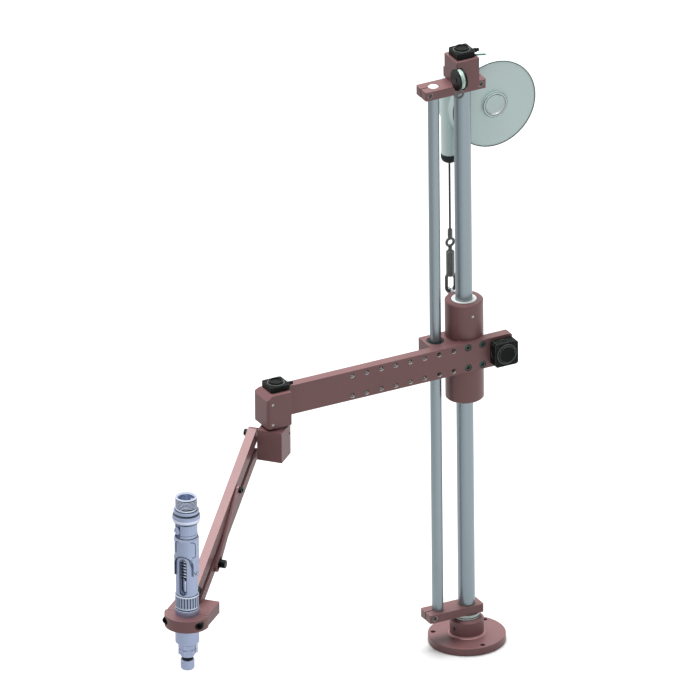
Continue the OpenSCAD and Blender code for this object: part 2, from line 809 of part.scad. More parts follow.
module balancer_bracket() {
    cheek_in = lug_t / 2 + seat_gap * 2;
    cheek_out = cheek_in + 5 * edge;
    shelf_z = lug_pin_z + lug_half_x + 2 * seat_gap;
    color(anodised) difference() {
        union() {
            block([-top_half_x + edge, top_half_y, upper_plate_top + seat_gap],
                [top_half_x - edge, top_half_y + shelf_t, shelf_z + 2 * shelf_t]);
            block([lug_x - lug_half_x, top_half_y, shelf_z],
                [lug_x + lug_half_x, cable_y + cheek_out, shelf_z + shelf_t]);
            for (side = [-1, 1])
                block([lug_x - lug_half_x, cable_y + min(side * cheek_in, side * cheek_out),
                        lug_pin_z - lug_pin_r * 2],
                    [lug_x + lug_half_x, cable_y + max(side * cheek_in, side * cheek_out),
                        shelf_z + over]);
        }
        rod_y(lug_pin_r + fit_gap, cable_y - cheek_out - over, cable_y + cheek_out + over,
            lug_x, lug_pin_z);
        rod_y(drum_case_r + edge, case_front - over, case_back + over, drum_x, drum_z);
    }
    color(steel) rod_y(lug_pin_r, cable_y - cheek_out - edge, cable_y + cheek_out + edge,
        lug_x, lug_pin_z);
}

module cable_stop() {
    color(black) translate([0, cable_y, nozzle_bottom]) rotate([180, 0, 0])
        rotate_extrude() polygon([
            [cable_r + 2 * fit_gap, 0], [nozzle_r - edge, 0], [nozzle_r, edge],
            [nozzle_r, stop_h * 0.5], [nozzle_r * 0.7, stop_h], [cable_r + 2 * fit_gap, stop_h]]);
}

// Cable, hook and eye bolt

eye_ring_r = 8;
eye_wire = 2.5;
eye_z = sleeve_top - 4 * eye_wire;
hook_wire = 3;
hook_half_w = 8;
hook_loop_h = 22;
// Middle of the hook's lowest wire, just under the top of the eye bolt's ring
hook_z = eye_z + eye_ring_r - eye_wire - hook_wire - seat_gap;
hook_body_r = 7.5;
hook_body_z = hook_z + hook_loop_h + hook_half_w;
hook_body_h = 50;
swivel_r = 7;
swivel_wire = 2.5;
swivel_neck = 6;
swivel_z = hook_body_z + hook_body_h + swivel_neck + swivel_r + swivel_wire;
ferrule_h = 16;
ferrule_z = swivel_z + swivel_r + swivel_wire + seat_gap;

module balancer_cable() {
    color([0.2, 0.2, 0.22]) translate([0, cable_y, ferrule_z + 2 * edge])
        cylinder(r = cable_r, h = drum_z - ferrule_z - 4 * edge);
}

module cable_ferrule() {
    color(black) difference() {
        translate([0, cable_y, ferrule_z]) rotate_extrude() polygon([
            [0, 0], [2.2 * cable_r, 0], [2.2 * cable_r, ferrule_h - 2 * edge],
            [2.2 * cable_r - edge, ferrule_h], [0, ferrule_h]]);
        translate([0, cable_y, ferrule_z + 2 * edge - seat_gap])
            cylinder(r = cable_r + fit_gap, h = ferrule_h);
    }
}

// Half a ring of round bar, its axis along Y: below its centre, or above it
module half_ring(ring_r, wire_r, above) {
    rotate([90, 0, 0]) rotate([0, 0, above ? 0 : 180]) rotate_extrude(angle = 180)
        translate([ring_r, 0]) circle(r = wire_r, $fn = 24);
}

loop_low = hook_z + hook_half_w;
loop_high = hook_body_z - hook_wire;
gate_r = hook_wire * 0.7;

// The hook's loop is open on its +X side, where the gate closes it
module snap_hook() {
    color(black) translate([0, cable_y, 0]) {
        translate([0, 0, hook_body_z]) rotate_extrude() polygon([
            [0, 0], [hook_body_r - 2 * edge, 0], [hook_body_r, 2 * edge],
            [hook_body_r, hook_body_h - 3 * edge], [hook_body_r - 3 * edge, hook_body_h],
            [0, hook_body_h]]);
        translate([0, 0, hook_body_z + hook_body_h - over])
            cylinder(r = swivel_wire + edge, h = swivel_neck + 2 * over);
        translate([0, 0, swivel_z]) rotate([90, 0, 0]) torus(swivel_r, swivel_wire);
        translate([0, 0, loop_low]) half_ring(hook_half_w, hook_wire, false);
        translate([-hook_half_w, 0, loop_low])
            cylinder(r = hook_wire, h = loop_high - loop_low, $fn = 24);
        translate([0, 0, loop_high]) half_ring(hook_half_w, hook_wire, true);
    }
}

// The gate hangs from its knuckle and swings into the loop
module hook_gate() {
    low = loop_low + seat_gap * 3;
    knuckle_z = loop_high - seat_gap * 3 - gate_r;
    color(steel) translate([hook_half_w, cable_y, 0]) {
        translate([0, 0, low]) cylinder(r = gate_r, h = knuckle_z - low);
        rod_y(gate_r, -gate_r, gate_r, 0, knuckle_z);
    }
}

module eye_bolt() {
    color(steel) {
        translate([0, cable_y, eye_z]) rotate([0, 90, 0]) torus(eye_ring_r, eye_wire);
        rod_y(eye_wire * 1.6, sleeve_r + seat_gap, cable_y - eye_ring_r, 0, eye_z);
        rod_y(eye_wire, sleeve_bearing_r + edge * 3, sleeve_r + over, 0, eye_z);
    }
}

// Carriage

// Depth of the seat of the linear bearings below the sleeve's ends
seal_h = 2;

module carriage_sleeve() {
    color(anodised) difference() {
        translate([0, 0, sleeve_z]) rotate_extrude() polygon([
            [sleeve_bearing_r + fit_gap, 0], [sleeve_r - 2 * edge, 0], [sleeve_r, 2 * edge],
            [sleeve_r, sleeve_h - 2 * edge], [sleeve_r - 2 * edge, sleeve_h],
            [sleeve_bearing_r + fit_gap, sleeve_h]]);
        block([-sleeve_r - over, -sleeve_r - over, bar_z - seat_gap],
            [sleeve_r + over, -bar_back, bar_top + seat_gap]);
        for (x = [-1, 1], z = [-1, 1])
            rod_y(bar_hole_r - edge / 2 + fit_gap, -sleeve_r, 0, x * hole_pitch / 2,
                bar_mid + z * row_pitch / 2);
        rod_y(eye_wire + fit_gap, 0, sleeve_r + over, 0, eye_z);
        rod_y(set_screw_r + fit_gap, -sleeve_r - over, 0, 0, sleeve_set_z);
    }
}

set_screw_r = 2.5;
sleeve_set_z = sleeve_top - sleeve_bearing_h * 0.35;
head_set_x = elbow_x - (head_out + head_front) * 0.35;
head_set_z = [bar_z, bar_z + row_pitch];

// Grub screws that show on the sleeve and on the elbow head
module set_screws() {
    color(pale) {
        rod_y(set_screw_r, -sleeve_r + edge / 2, -sleeve_bearing_r - seat_gap, 0, sleeve_set_z);
        for (z = head_set_z)
            rod_y(set_screw_r, elbow_y - head_front + edge / 2, elbow_y - head_front + 6 * edge,
                head_set_x, z);
    }
}

module sleeve_bearings() {
    color(pale)
        for (z = [sleeve_z + seal_h, sleeve_top - seal_h - sleeve_bearing_h])
            translate([0, 0, z]) rotate_extrude() polygon([
                [column_r + run_gap, 0], [sleeve_bearing_r - edge, 0], [sleeve_bearing_r, edge],
                [sleeve_bearing_r, sleeve_bearing_h - edge],
                [sleeve_bearing_r - edge, sleeve_bearing_h],
                [column_r + run_gap, sleeve_bearing_h]]);
}

module bearing_seals() {
    color(pale)
        for (z = [sleeve_z + seat_gap, sleeve_top - seal_h + seat_gap])
            tube(sleeve_bearing_r - seat_gap, column_r + edge / 2, seal_h - 2 * seat_gap, z);
}

first_open_x = -1.5 * hole_pitch;

module arm_bar() {
    color(anodised) difference() {
        translate([0, bar_front, 0]) {
            block([elbow_x + head_in, 0, bar_z], [bar_end - 4 * edge, bar_t, bar_top]);
            block([0, 0, bar_z + 4 * edge], [bar_end, bar_t, bar_top - 4 * edge]);
            for (z = [bar_z + 4 * edge, bar_top - 4 * edge])
                rod_y(4 * edge, 0, bar_t, bar_end - 4 * edge, z);
        }
        for (z = [-1, 1] * row_pitch / 2) {
            for (x = [-1, 1] * hole_pitch / 2) {
                rod_y(bar_hole_r, bar_front - over, -bar_back + over, x, bar_mid + z);
                rod_y(bar_screw_head_r + 4 * fit_gap, bar_front - over,
                    bar_front + bar_screw_head_h, x, bar_mid + z);
            }
            for (i = [0 : open_pairs - 1])
                rod_y(bar_hole_r, bar_front - over, -bar_back + over,
                    first_open_x - i * hole_pitch, bar_mid + z);
        }
        rod_y(sensor_shaft_r + edge, bar_front - over, -bar_back + over, travel_x, bar_mid);
        translate([bar_end - 4 * edge, bar_front + bar_t / 2, bar_top - 2 * bar_hole_r])
            cylinder(r = edge, h = 3 * bar_hole_r);
    }
}

bar_screw_head_r = 6.5;
bar_screw_head_h = 7;

module bar_screws() {
    color([0.16, 0.24, 0.22])
        for (x = [-1, 1], z = [-1, 1])
            translate([x * hole_pitch / 2, bar_front + bar_screw_head_h,
                    bar_mid + z * row_pitch / 2])
                rotate([90, 0, 0]) cap_screw(bar_hole_r - edge / 2,
                    bar_t - bar_screw_head_h + 5 * edge, bar_screw_head_r,
                    bar_screw_head_h - edge);
}

// The block that ties the carriage to the guide rod
module guide_block() {
    half = plate_half_w + 6 * edge;
    color(anodised) difference() {
        block([rod_x - rod_bearing_r - 4.5 * edge, -bar_back, bar_z],
            [0, half, bar_top - 2 * edge]);
        translate([0, 0, sleeve_z]) cylinder(r = sleeve_r + seat_gap, h = sleeve_h);
        translate([rod_x, 0, bar_z - over])
            cylinder(r = rod_bearing_r + fit_gap, h = bar_h + 2 * over);
    }
}

module rod_bearing() {
    translate([rod_x, 0, bar_mid - edge]) {
        color(black) tube(rod_bearing_r, rod_r + run_gap, rod_bearing_h, -rod_bearing_h / 2);
        color(black)
            for (z = [-bar_h / 2 + 2 * edge, rod_bearing_h / 2 + seat_gap])
                tube(rod_bearing_r - edge / 2, rod_r + edge,
                    (bar_h - rod_bearing_h) / 2 - 2 * edge - 2 * seat_gap, z);
    }
}

// The travel sensor on the front of the bar, its axis along Y
module travel_sensor() {
    color(black) translate([travel_x, bar_front, bar_mid]) rotate([90, 0, 0]) {
        difference() {
            square_sensor(travel_side, travel_d, travel_boss_r, travel_boss_d);
            for (side = [-1, 1]) {
                translate([side * travel_side / 2, 0, travel_d / 2]) rotate([0, 90, 0])
                    translate([0, 0, -edge]) cylinder(r = travel_d * 0.32, h = 2 * edge);
                translate([0, side * travel_side / 2, travel_d / 2]) rotate([90, 0, 0])
                    translate([0, 0, -edge]) cylinder(r = travel_d * 0.32, h = 2 * edge);
            }
        }
    }
    color(steel) rod_y(sensor_shaft_r, bar_front - travel_d / 3, -bar_back - 2 * edge,
        travel_x, bar_mid);
}

// Elbow

module elbow_head() {
    color(anodised) difference() {
        union() {
            translate([elbow_x, elbow_y, head_z]) {
                rounded_plate([-head_out, -head_front], [head_in - seat_gap, head_back],
                    head_corner, bar_top - head_z);
                block([0, -head_front, 0], [head_in - seat_gap, 0, bar_top - head_z]);
            }
            block([elbow_x, bar_front, bar_z], [elbow_x + head_in, -bar_back, bar_top]);
            translate([elbow_x, elbow_y, boss_z]) cylinder(r = boss_r, h = boss_h);
        }
        translate([elbow_x, elbow_y, boss_z - over])
            cylinder(r = elbow_shaft_r + 2 * edge, h = bar_top - boss_z + 2 * over);
        for (z = [boss_z - over, bar_top - elbow_bearing_h])
            translate([elbow_x, elbow_y, z])
                cylinder(r = elbow_bearing_r + fit_gap, h = elbow_bearing_h + over);
        for (z = head_set_z)
            rod_y(set_screw_r + fit_gap, elbow_y - head_front - over,
                elbow_y - head_front + 6.5 * edge, head_set_x, z);
        translate([elbow_x - head_out, elbow_y - head_front - over, bar_top])
            sloped_cut(head_slope_out, head_slope_h, head_front + head_back + 2 * over);
        translate([elbow_x - head_out - over, elbow_y + head_back, bar_top]) rotate([0, 0, -90])
            sloped_cut(head_slope_back, head_slope_h, head_out + head_in + 2 * over);
    }
}

// A wedge that cuts an upper edge which runs along +Y, from width w inwards and h down
module sloped_cut(w, h, length) {
    rotate([90, 0, 0]) mirror([0, 0, 1]) linear_extrude(length)
        polygon([[-w, 0], [w, 0], [-w, -2 * h]]);
}

module ball_bearing(r_out, r_in, h) {
    step = (r_out - r_in) / 4;
    tube(r_out, r_out - step, h);
    tube(r_in + step, r_in, h);
    tube(r_out - step, r_in + step, h - 2 * edge, edge);
}

module elbow_bearings() {
    color(steel)
        for (z = [boss_z, bar_top - elbow_bearing_h])
            translate([elbow_x, elbow_y, z])
                ball_bearing(elbow_bearing_r, elbow_shaft_r + run_gap, elbow_bearing_h);
}

module elbow_sensor() {
    color(black) translate([elbow_x, elbow_y, bar_top])
        square_sensor(elbow_sensor_side, elbow_sensor_h, sensor_cap_r, sensor_cap_h);
}

module elbow_sensor_fittings() {
    translate([elbow_x, elbow_y, bar_top]) sensor_fittings(elbow_sensor_side, elbow_sensor_h);
}

// Forearm

shaft_foot = 8;

module elbow_shaft() {
    color(steel) translate([elbow_x, elbow_y, 0]) {
        translate([0, 0, yoke_z + shaft_foot])
            cylinder(r = elbow_shaft_r, h = bar_top - yoke_z - shaft_foot - edge);
        translate([0, 0, bar_top - 2 * edge])
            cylinder(r = sensor_shaft_r, h = elbow_sensor_h / 2 + 2 * edge);
    }
}

module forearm_yoke() {
    color(anodised) at_elbow() difference() {
        translate([0, 0, yoke_z]) {
            cylinder(r = yoke_r, h = yoke_h);
            block([0, -yoke_side, 0], [yoke_front, yoke_r, yoke_h]);
        }
        block([-yoke_r - over, -yoke_r - over, yoke_z - over],
            [yoke_front + over, -yoke_side, yoke_top + over]);
        translate([0, 0, yoke_z + shaft_foot - seat_gap])
            cylinder(r = elbow_shaft_r + fit_gap, h = yoke_h);
        for (z = [pivot_z, pivot_z - link_spacing])
            rod_y(shoulder_r - edge + fit_gap, -yoke_side - over, yoke_side / 2, pivot_a, z);
        rod_y(set_screw_r, 0, yoke_r + over, 0, yoke_z + yoke_h * 0.7);
    }
}

module elbow_washers() {
    color(pale) translate([elbow_x, elbow_y, 0])
        tube(boss_r - 2 * edge, elbow_shaft_r + fit_gap * 2, elbow_washer_h - seat_gap,
            yoke_top);
    color(steel) at_elbow()
        for (z = [pivot_z, pivot_z - link_spacing])
            translate([pivot_a, 0, z]) rotate([90, 0, 0])
                tube(shoulder_r + 2 * edge, shoulder_r + fit_gap, link_gap - seat_gap,
                    yoke_side);
}

// Shoulder screws that hold the links to the yoke, heads away from it
module yoke_pivot_screws() {
    color(black) at_elbow()
        for (z = [pivot_z, pivot_z - link_spacing]) {
            translate([pivot_a, link_far - seat_gap, z]) rotate([90, 0, 0])
                cap_screw(shoulder_r, link_w + link_gap + seat_gap, pivot_head_r, pivot_head_h);
            rod_y(shoulder_r - edge, -yoke_side - over, yoke_side / 2 - edge, pivot_a, z);
        }
}

// A link with round ends, bored for both pivots
module link(h, holes_at, hole_r) {
    difference() {
        union() {
            block([0, link_far, -h / 2], [link_len, link_side, h / 2]);
            for (x = [0, link_len])
                rod_y(h / 2, link_far, link_side, x, 0);
        }
        for (x = [0, link_len])
            rod_y(shoulder_r + run_gap, link_far - over, link_side + over, x, 0);
        rod_y(hole_r, link_far - over, link_side + over, holes_at, 0);
    }
}

module upper_link() {
    color(anodised) at_link(pivot_z) link(upper_link_h, stay_pin, stud_r + fit_gap);
}

module lower_link() {
    color(anodised) at_link(pivot_z - link_spacing)
        link(lower_link_h, stay_stud, stud_r + fit_gap);
}

// Stay between the links, along their right side

// The stud's place seen from the stay's pin, along and across the upper link
stay_along = stay_stud + link_spacing * sin(link_drop) - stay_pin;
stay_across = link_spacing * cos(link_drop);
stay_angle = atan2(stay_across, stay_along);
stay_len = norm([stay_along, stay_across]);
stay_n = link_side + edge / 2;
// Clearance across the slot, which takes up the stay's uneven turning
slot_gap = 0.9;

module stay() {
    slot_r = stud_r + slot_gap;
    end_x = stay_len + stay_travel;
    color(anodised) at_link(pivot_z) translate([stay_pin, stay_n, 0])
        rotate([0, stay_angle, 0]) difference() {
            union() {
                block([0, 0, -stay_w / 2], [end_x, stay_t, stay_w / 2]);
                rod_y(stay_w / 2, 0, stay_t, 0, 0);
                rod_y(stay_w / 2, 0, stay_t, end_x, 0);
            }
            rod_y(stud_r + run_gap, -over, stay_t + over, 0, 0);
            block([stay_len - stay_travel, -over, -slot_r],
                [stay_len + stay_travel, stay_t + over, slot_r]);
            for (x = [-1, 1] * stay_travel)
                rod_y(slot_r, -over, stay_t + over, stay_len + x, 0);
        }
}

module stay_screw() {
    length = link_w + stay_t + edge / 2 + seat_gap;
    color(black) at_link(pivot_z)
        translate([stay_pin, stay_n + stay_t + seat_gap, 0]) rotate([-90, 0, 0])
            cap_screw(stud_r, length, stud_r * 2, stud_r * 1.8);
    color(steel) at_link(pivot_z)
        rod_y(stud_r * 1.7, link_side, stay_n - seat_gap, stay_pin, 0);
}

// A knurled knob on its stud, turned by hand
module stay_knob() {
    knurls = 16;
    stud_end = link_far + edge;
    color(black) at_link(pivot_z - link_spacing) translate([stay_stud, 0, 0]) {
        difference() {
            translate([0, stay_n + stay_t + seat_gap, 0]) rotate([-90, 0, 0]) {
                cylinder(r = knob_r, h = knob_h - edge);
                translate([0, 0, knob_h - edge])
                    cylinder(r1 = knob_r, r2 = knob_r - edge, h = edge);
            }
            for (i = [0 : knurls - 1])
                rotate([0, i * 360 / knurls, 0])
                    rod_y(edge / 2, stay_n + stay_t + 2 * edge, stay_n + stay_t + 2 * knob_h,
                        knob_r, 0);
        }
        rod_y(stud_r, stud_end, stay_n + stay_t + 2 * over);
    }
}

// Tool holder

slot_half = link_w / 2 + pass_gap;
post_in = -slot_half;
post_out = post_in - 11 * edge;
post_half = 11;
bolt_head_r = clamp_bolt_r * head_radius_share;
bolt_seat = 15;

// Cuts the clamping screws' bores and the tool's bore, in the tool's frame
module clamp_cuts() {
    translate([0, 0, clamp_z - over]) cylinder(r = nose_r + fit_gap, h = clamp_h + 2 * over);
    for (side = [-1, 1])
        rod_x_axis(clamp_bolt_r + fit_gap, -rear_len / 2, clamp_r + over,
            side * clamp_bolt_y, clamp_z + clamp_h / 2);
}

module clamp_rear() {
    color(anodised) at_tool() difference() {
        union() {
            block([-rear_len, -rear_half_w, clamp_z], [-clamp_gap / 2, rear_half_w, clamp_top]);
            block([-tool_offset - post_half, post_out, clamp_z],
                [-tool_offset + post_half, post_in, tip_z]);
            rod_y(post_half, post_out, post_in, -tool_offset, tip_z);
        }
        clamp_cuts();
        block([-rear_len - over, -slot_half, clamp_z - over],
            [-tool_offset + lower_link_h / 2 + pass_gap, slot_half, clamp_top + over]);
        rod_y(shoulder_r + fit_gap, -rear_half_w - over, slot_half + 10 * edge,
            -tool_offset, clamp_z + clamp_h / 2);
        rod_y(pivot_head_r + 4 * fit_gap, -rear_half_w - over, -rear_half_w + pivot_head_h,
            -tool_offset, clamp_z + clamp_h / 2);
        rod_y(shoulder_r + fit_gap, post_out - over, post_in + over, -tool_offset, tip_z);
    }
}

module clamp_front() {
    color(anodised) at_tool() difference() {
        translate([0, 0, clamp_z]) cylinder(r = clamp_r, h = clamp_h);
        block([-clamp_r - over, -clamp_r - over, clamp_z - over],
            [clamp_gap / 2, clamp_r + over, clamp_top + over]);
        clamp_cuts();
        for (side = [-1, 1])
            rod_x_axis(bolt_head_r + 6 * fit_gap, bolt_seat, clamp_r + over, side * clamp_bolt_y,
                clamp_z + clamp_h / 2);
    }
}

// The two clamping screws and the two shoulder screws at the links' far ends
module clamp_screws() {
    color(black) at_tool() {
        for (side = [-1, 1])
            translate([bolt_seat + seat_gap, side * clamp_bolt_y, clamp_z + clamp_h / 2])
                rotate([0, 90, 0]) cap_screw(clamp_bolt_r, bolt_seat + rear_len / 2 - edge);
        translate([-tool_offset, -rear_half_w + pivot_head_h - seat_gap, clamp_z + clamp_h / 2])
            rotate([90, 0, 0])
                cap_screw(shoulder_r, rear_half_w - pivot_head_h + slot_half + 9 * edge,
                    pivot_head_r, pivot_head_h - edge);
        translate([-tool_offset, post_out - seat_gap, tip_z]) rotate([90, 0, 0])
            cap_screw(shoulder_r, -post_out + link_w / 2 + 2 * edge, pivot_head_r, pivot_head_h);
        difference() {
            rod_y(pivot_head_r, link_w / 2 + seat_gap, link_w / 2 + 3 * edge,
                -tool_offset, tip_z);
            rod_y(shoulder_r + fit_gap, 0, link_w, -tool_offset, tip_z);
        }
    }
}

// Tool, in its own frame, with its window away from the elbow

shell_z = nose_top + shell_rise;
shell_top = shell_z + shell_h;
shell_r = body_r + fit_gap + shell_wall;
arch_half = 16.6;
arch_top = shell_z + shell_h * 0.53;
window_z = nose_top + window_rise;
window_top = window_z + window_h;
chamber_r = 11;
chamber_z = window_z - window_w;
chamber_top = window_top + edge;
plunger_r = 9;
plunger_h = window_h / 2;
ring_z = nose_top + 2 * edge;
ring_r = body_r + 1.4 * edge;
collar_z = shell_top + neck_h;
knob_z = shell_top + neck_h / 2;
knob_angle = -40;
mode_knob_r = neck_h * 0.3;
// Width and depth of the step round the window
step_w = 1.3;
step_d = 0.8;

// An upright slot with round ends, cut outwards from x0
module window_cut(half_w, z0, z1, x0) {
    block([x0, -half_w, z0 + half_w], [2 * body_r, half_w, z1 - half_w]);
    for (z = [z0 + half_w, z1 - half_w])
        rod_x_axis(half_w, x0, 2 * body_r, 0, z);
}

module tool_body() {
    spigot_r = nose_r - 6 * edge;
    color(tool_blue) at_tool() difference() {
        union() {
            translate([0, 0, nose_top]) cylinder(r = body_r, h = body_h);
            translate([0, 0, nose_top - nose_h / 2]) cylinder(r = spigot_r, h = nose_h / 2 + over);
        }
        translate([0, 0, chamber_z]) cylinder(r = chamber_r, h = chamber_top - chamber_z);
        window_cut(window_w / 2, window_z, window_top, 0);
        window_cut(window_w / 2 + step_w, window_z - step_w, window_top + step_w,
            sqrt(body_r ^ 2 - (window_w / 2 + step_w) ^ 2) - step_d);
        rotate([0, 0, knob_angle]) block([body_r - 4 * edge, -mode_knob_r - edge, shell_top + edge],
            [2 * body_r, mode_knob_r + edge, collar_z - edge]);
        translate([0, 0, body_top - inlet_h]) cylinder(r = inlet_bore_r, h = inlet_h + over);
    }
}

inlet_bore_r = 14.5;

// The outer shell ends in an arch over the window
module tool_shell() {
    color(tool_blue) at_tool() difference() {
        translate([0, 0, shell_z]) rotate_extrude() polygon([
            [body_r + fit_gap, 0], [shell_r - edge / 2, 0], [shell_r, edge / 2],
            [shell_r, shell_h - 3 * edge], [shell_r - edge, shell_h - 2 * edge],
            [shell_r - edge, shell_h - edge], [shell_r - 2 * edge, shell_h],
            [body_r + fit_gap, shell_h]]);
        block([0, -arch_half, shell_z - over], [2 * body_r, arch_half, arch_top - arch_half]);
        rod_x_axis(arch_half, 0, 2 * body_r, 0, arch_top - arch_half);
        difference() {
            rotate([0, 0, -20]) block([0, -2 * body_r, arch_top - 4 * edge],
                [2 * body_r, 0.75 * body_r, shell_top - 8 * edge]);
            translate([0, 0, shell_z - over])
                cylinder(r = shell_r - 0.8 * edge, h = shell_h + 2 * over);
            block([-2 * body_r, -arch_half - edge, shell_z],
                [2 * body_r, arch_half + edge, arch_top - arch_half]);
            rod_x_axis(arch_half + 2 * edge, 0, 2 * body_r, 0, arch_top - arch_half);
        }
    }
}

module tool_nose() {
    spigot_r = nose_r - 6 * edge + fit_gap;
    pin_r = 0.9;
    color(tool_blue) at_tool() {
        difference() {
            translate([0, 0, nose_z]) rotate_extrude() polygon([
                [0, 0], [nose_r - 2 * edge, 0], [nose_r, 2 * edge], [nose_r, nose_h - edge],
                [nose_r - edge, nose_h], [0, nose_h]]);
            translate([0, 0, nose_top - nose_h / 2 - seat_gap])
                cylinder(r = spigot_r, h = nose_h);
            translate([0, 0, nose_z - over]) cylinder(r = chuck_journal_r + run_gap, h = nose_h / 3);
        }
        difference() {
            translate([0, 0, nut_z]) cylinder(r = nut_r, h = nut_h, $fn = 6);
            translate([0, 0, nut_z - over])
                cylinder(r = chuck_journal_r + run_gap, h = nut_h + 2 * over);
            translate([0, 0, nut_z + nut_h * 0.45])
                tube(nut_r + over, nut_r * cos(30) - edge / 2, 2 * edge);
        }
        rotate([0, 0, 110]) translate([nose_r - 4 * edge, 0, nose_z - nut_h + edge])
            cylinder(r = pin_r, h = nut_h);
    }
}

chuck_journal_r = 8;
collar_step = 4;

// Inlet thread, collar, lock ring and mode knob of the tool
module tool_fittings() {
    ridge = inlet_h / (inlet_ridges + 1);
    rows = inlet_ridges - 1;
    notches = 24;
    color(tool_blue) at_tool() {
        translate([0, 0, body_top]) rotate_extrude() polygon(concat(
            [[inlet_bore_r, 0], [inlet_r - edge, 0], [inlet_r - edge, ridge / 2]],
            [for (i = [0 : rows], side = [0, 1])
                [side == 0 ? inlet_r : inlet_r - 1.6 * edge, (i + 0.8 + side * 0.5) * ridge]],
            [[inlet_r - edge, inlet_h - edge], [inlet_r - 2 * edge, inlet_h],
                [inlet_r - 5 * edge, inlet_h], [inlet_bore_r, inlet_h - 3 * edge]]));
        translate([0, 0, collar_z]) rotate_extrude() polygon([
            [body_r + fit_gap, 0], [body_r + edge, 0],
            [collar_r - 2 * edge, collar_h * 0.25], [collar_r, collar_h * 0.42],
            [collar_r - edge / 2, collar_h * 0.6], [body_r + 1.6 * edge, collar_h * 0.76],
            [body_r + 3 * edge, collar_h * 0.8], [body_r + 3 * edge, collar_h - edge],
            [body_r + 2 * edge, collar_h], [body_r + fit_gap, collar_h]]);
        difference() {
            tube(ring_r, body_r + fit_gap, ring_h, ring_z);
            for (i = [0 : notches - 1])
                rotate([0, 0, (i + 0.5) * 360 / notches])
                    translate([ring_r + edge / 2, 0, ring_z + 2 * edge])
                        cylinder(r = edge * 1.2, h = ring_h - 4 * edge);
        }
        translate([0, 0, body_top - inlet_h]) rotate([0, 0, 110])
            translate([inlet_bore_r - 3.5 * edge, 0, 0])
                tube(3 * edge, 1.6 * edge, inlet_h + inlet_h * 0.8);
        translate([0, 0, chamber_z]) cylinder(r = plunger_r, h = plunger_h);
    }
    color(black) at_tool() rotate([0, 0, knob_angle]) translate([body_r - 4 * edge, 0, knob_z])
        rotate([0, 90, 0]) {
            cylinder(r = mode_knob_r, h = 4 * edge);
            translate([0, 0, 4 * edge]) cylinder(r1 = mode_knob_r, r2 = mode_knob_r - 2 * edge,
                h = 2 * edge);
        }
}

// Return spring, one unbroken tube swept round its curls

rings_a_curl = 8;
spring_sides = 6;
spring_r = chamber_r - spring_wire_r - 0.6;
spring_z = chamber_z + plunger_h + spring_wire_r + seat_gap;
spring_end = chamber_top - spring_wire_r - seat_gap;
spring_rings = spring_curls * rings_a_curl;
function spring_mid(i) =
    let (angle = i * 360 / rings_a_curl)
    [spring_r * cos(angle), spring_r * sin(angle),
        spring_z + (spring_end - spring_z) * i / spring_rings];
function spring_skin(i, j) =
    let (angle = i * 360 / rings_a_curl, turn = j * 360 / spring_sides,
        out = spring_wire_r * cos(turn))
    spring_mid(i) + [out * cos(angle), out * sin(angle), spring_wire_r * sin(turn)];
spring_points = [for (i = [0 : spring_rings], j = [0 : spring_sides - 1]) spring_skin(i, j)];
spring_gap = min([for (i = [0 : spring_rings - rings_a_curl])
    norm(spring_mid(i + rings_a_curl) - spring_mid(i))]) - 2 * spring_wire_r;
echo(spring_gap = spring_gap);

module return_spring() {
    s = spring_sides;
    last = spring_rings * s;
    side_faces = [for (i = [0 : spring_rings - 1], j = [0 : s - 1], half = [0, 1])
        let (a = i * s + j, b = i * s + (j + 1) % s)
        half == 0 ? [a, b, a + s] : [b, b + s, a + s]];
    end_faces = [for (j = [1 : s - 2], half = [0, 1])
        half == 0 ? [0, j + 1, j] : [last, last + j, last + j + 1]];
    color(steel) at_tool() polyhedron(spring_points, concat(side_faces, end_faces), convexity = 8);
}

// The chuck turns in the nose, and its socket faces down
module tool_chuck() {
    color(steel) at_tool() difference() {
        union() {
            translate([0, 0, chuck_z]) rotate_extrude() polygon([
                [0, 0], [chuck_r - 4 * edge, 0], [chuck_r - 1.5 * edge, edge],
                [chuck_r, 4 * edge], [chuck_r, chuck_h * 0.62],
                [chuck_r - 2 * edge, chuck_h * 0.66], [chuck_r - 2 * edge, chuck_h * 0.84],
                [chuck_r, chuck_h * 0.88], [chuck_r, chuck_h - seat_gap], [0, chuck_h - seat_gap]]);
            translate([0, 0, nut_z - edge])
                cylinder(r = chuck_journal_r, h = nut_h + nose_h / 3 - 2 * edge);
        }
        translate([0, 0, chuck_z - over]) cylinder(r = socket_r, h = chuck_h / 2 + over);
    }
}

base_flange();
hub_grub_screws();
column();
column_plug();
thrust_race();
thrust_bearing();
lower_plate();
lower_bush();
guide_rod();
upper_plate();
upper_bush();
plate_clamp_screws();
top_block();
swing_sensor();
swing_sensor_fittings();
pulley_bracket();
pulley_sheave();
balancer_bracket();
balancer_housing();
balancer_cover();
balancer_axle();
cable_drum();
power_spring();
cable_stop();
balancer_cable();
cable_ferrule();
snap_hook();
hook_gate();
eye_bolt();
carriage_sleeve();
sleeve_bearings();
bearing_seals();
arm_bar();
bar_screws();
guide_block();
rod_bearing();
travel_sensor();
elbow_head();
elbow_bearings();
elbow_sensor();
elbow_sensor_fittings();
set_screws();
elbow_shaft();
forearm_yoke();
elbow_washers();
yoke_pivot_screws();
upper_link();
lower_link();
stay();
stay_screw();
stay_knob();
clamp_rear();
clamp_front();
clamp_screws();
tool_body();
tool_shell();
tool_nose();
tool_fittings();
return_spring();
tool_chuck();
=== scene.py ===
"""Tool arm on a column: finishes, fine shapes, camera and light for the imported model.

The script's lengths are millimetres of the model's own frame, and MM turns them to Blender's
metres: the column's axis on the mounting face is the origin, Z is up and the level arm bar runs
to -X.
"""
import json
import math

import bmesh
import bpy
from mathutils import Matrix, Quaternion, Vector


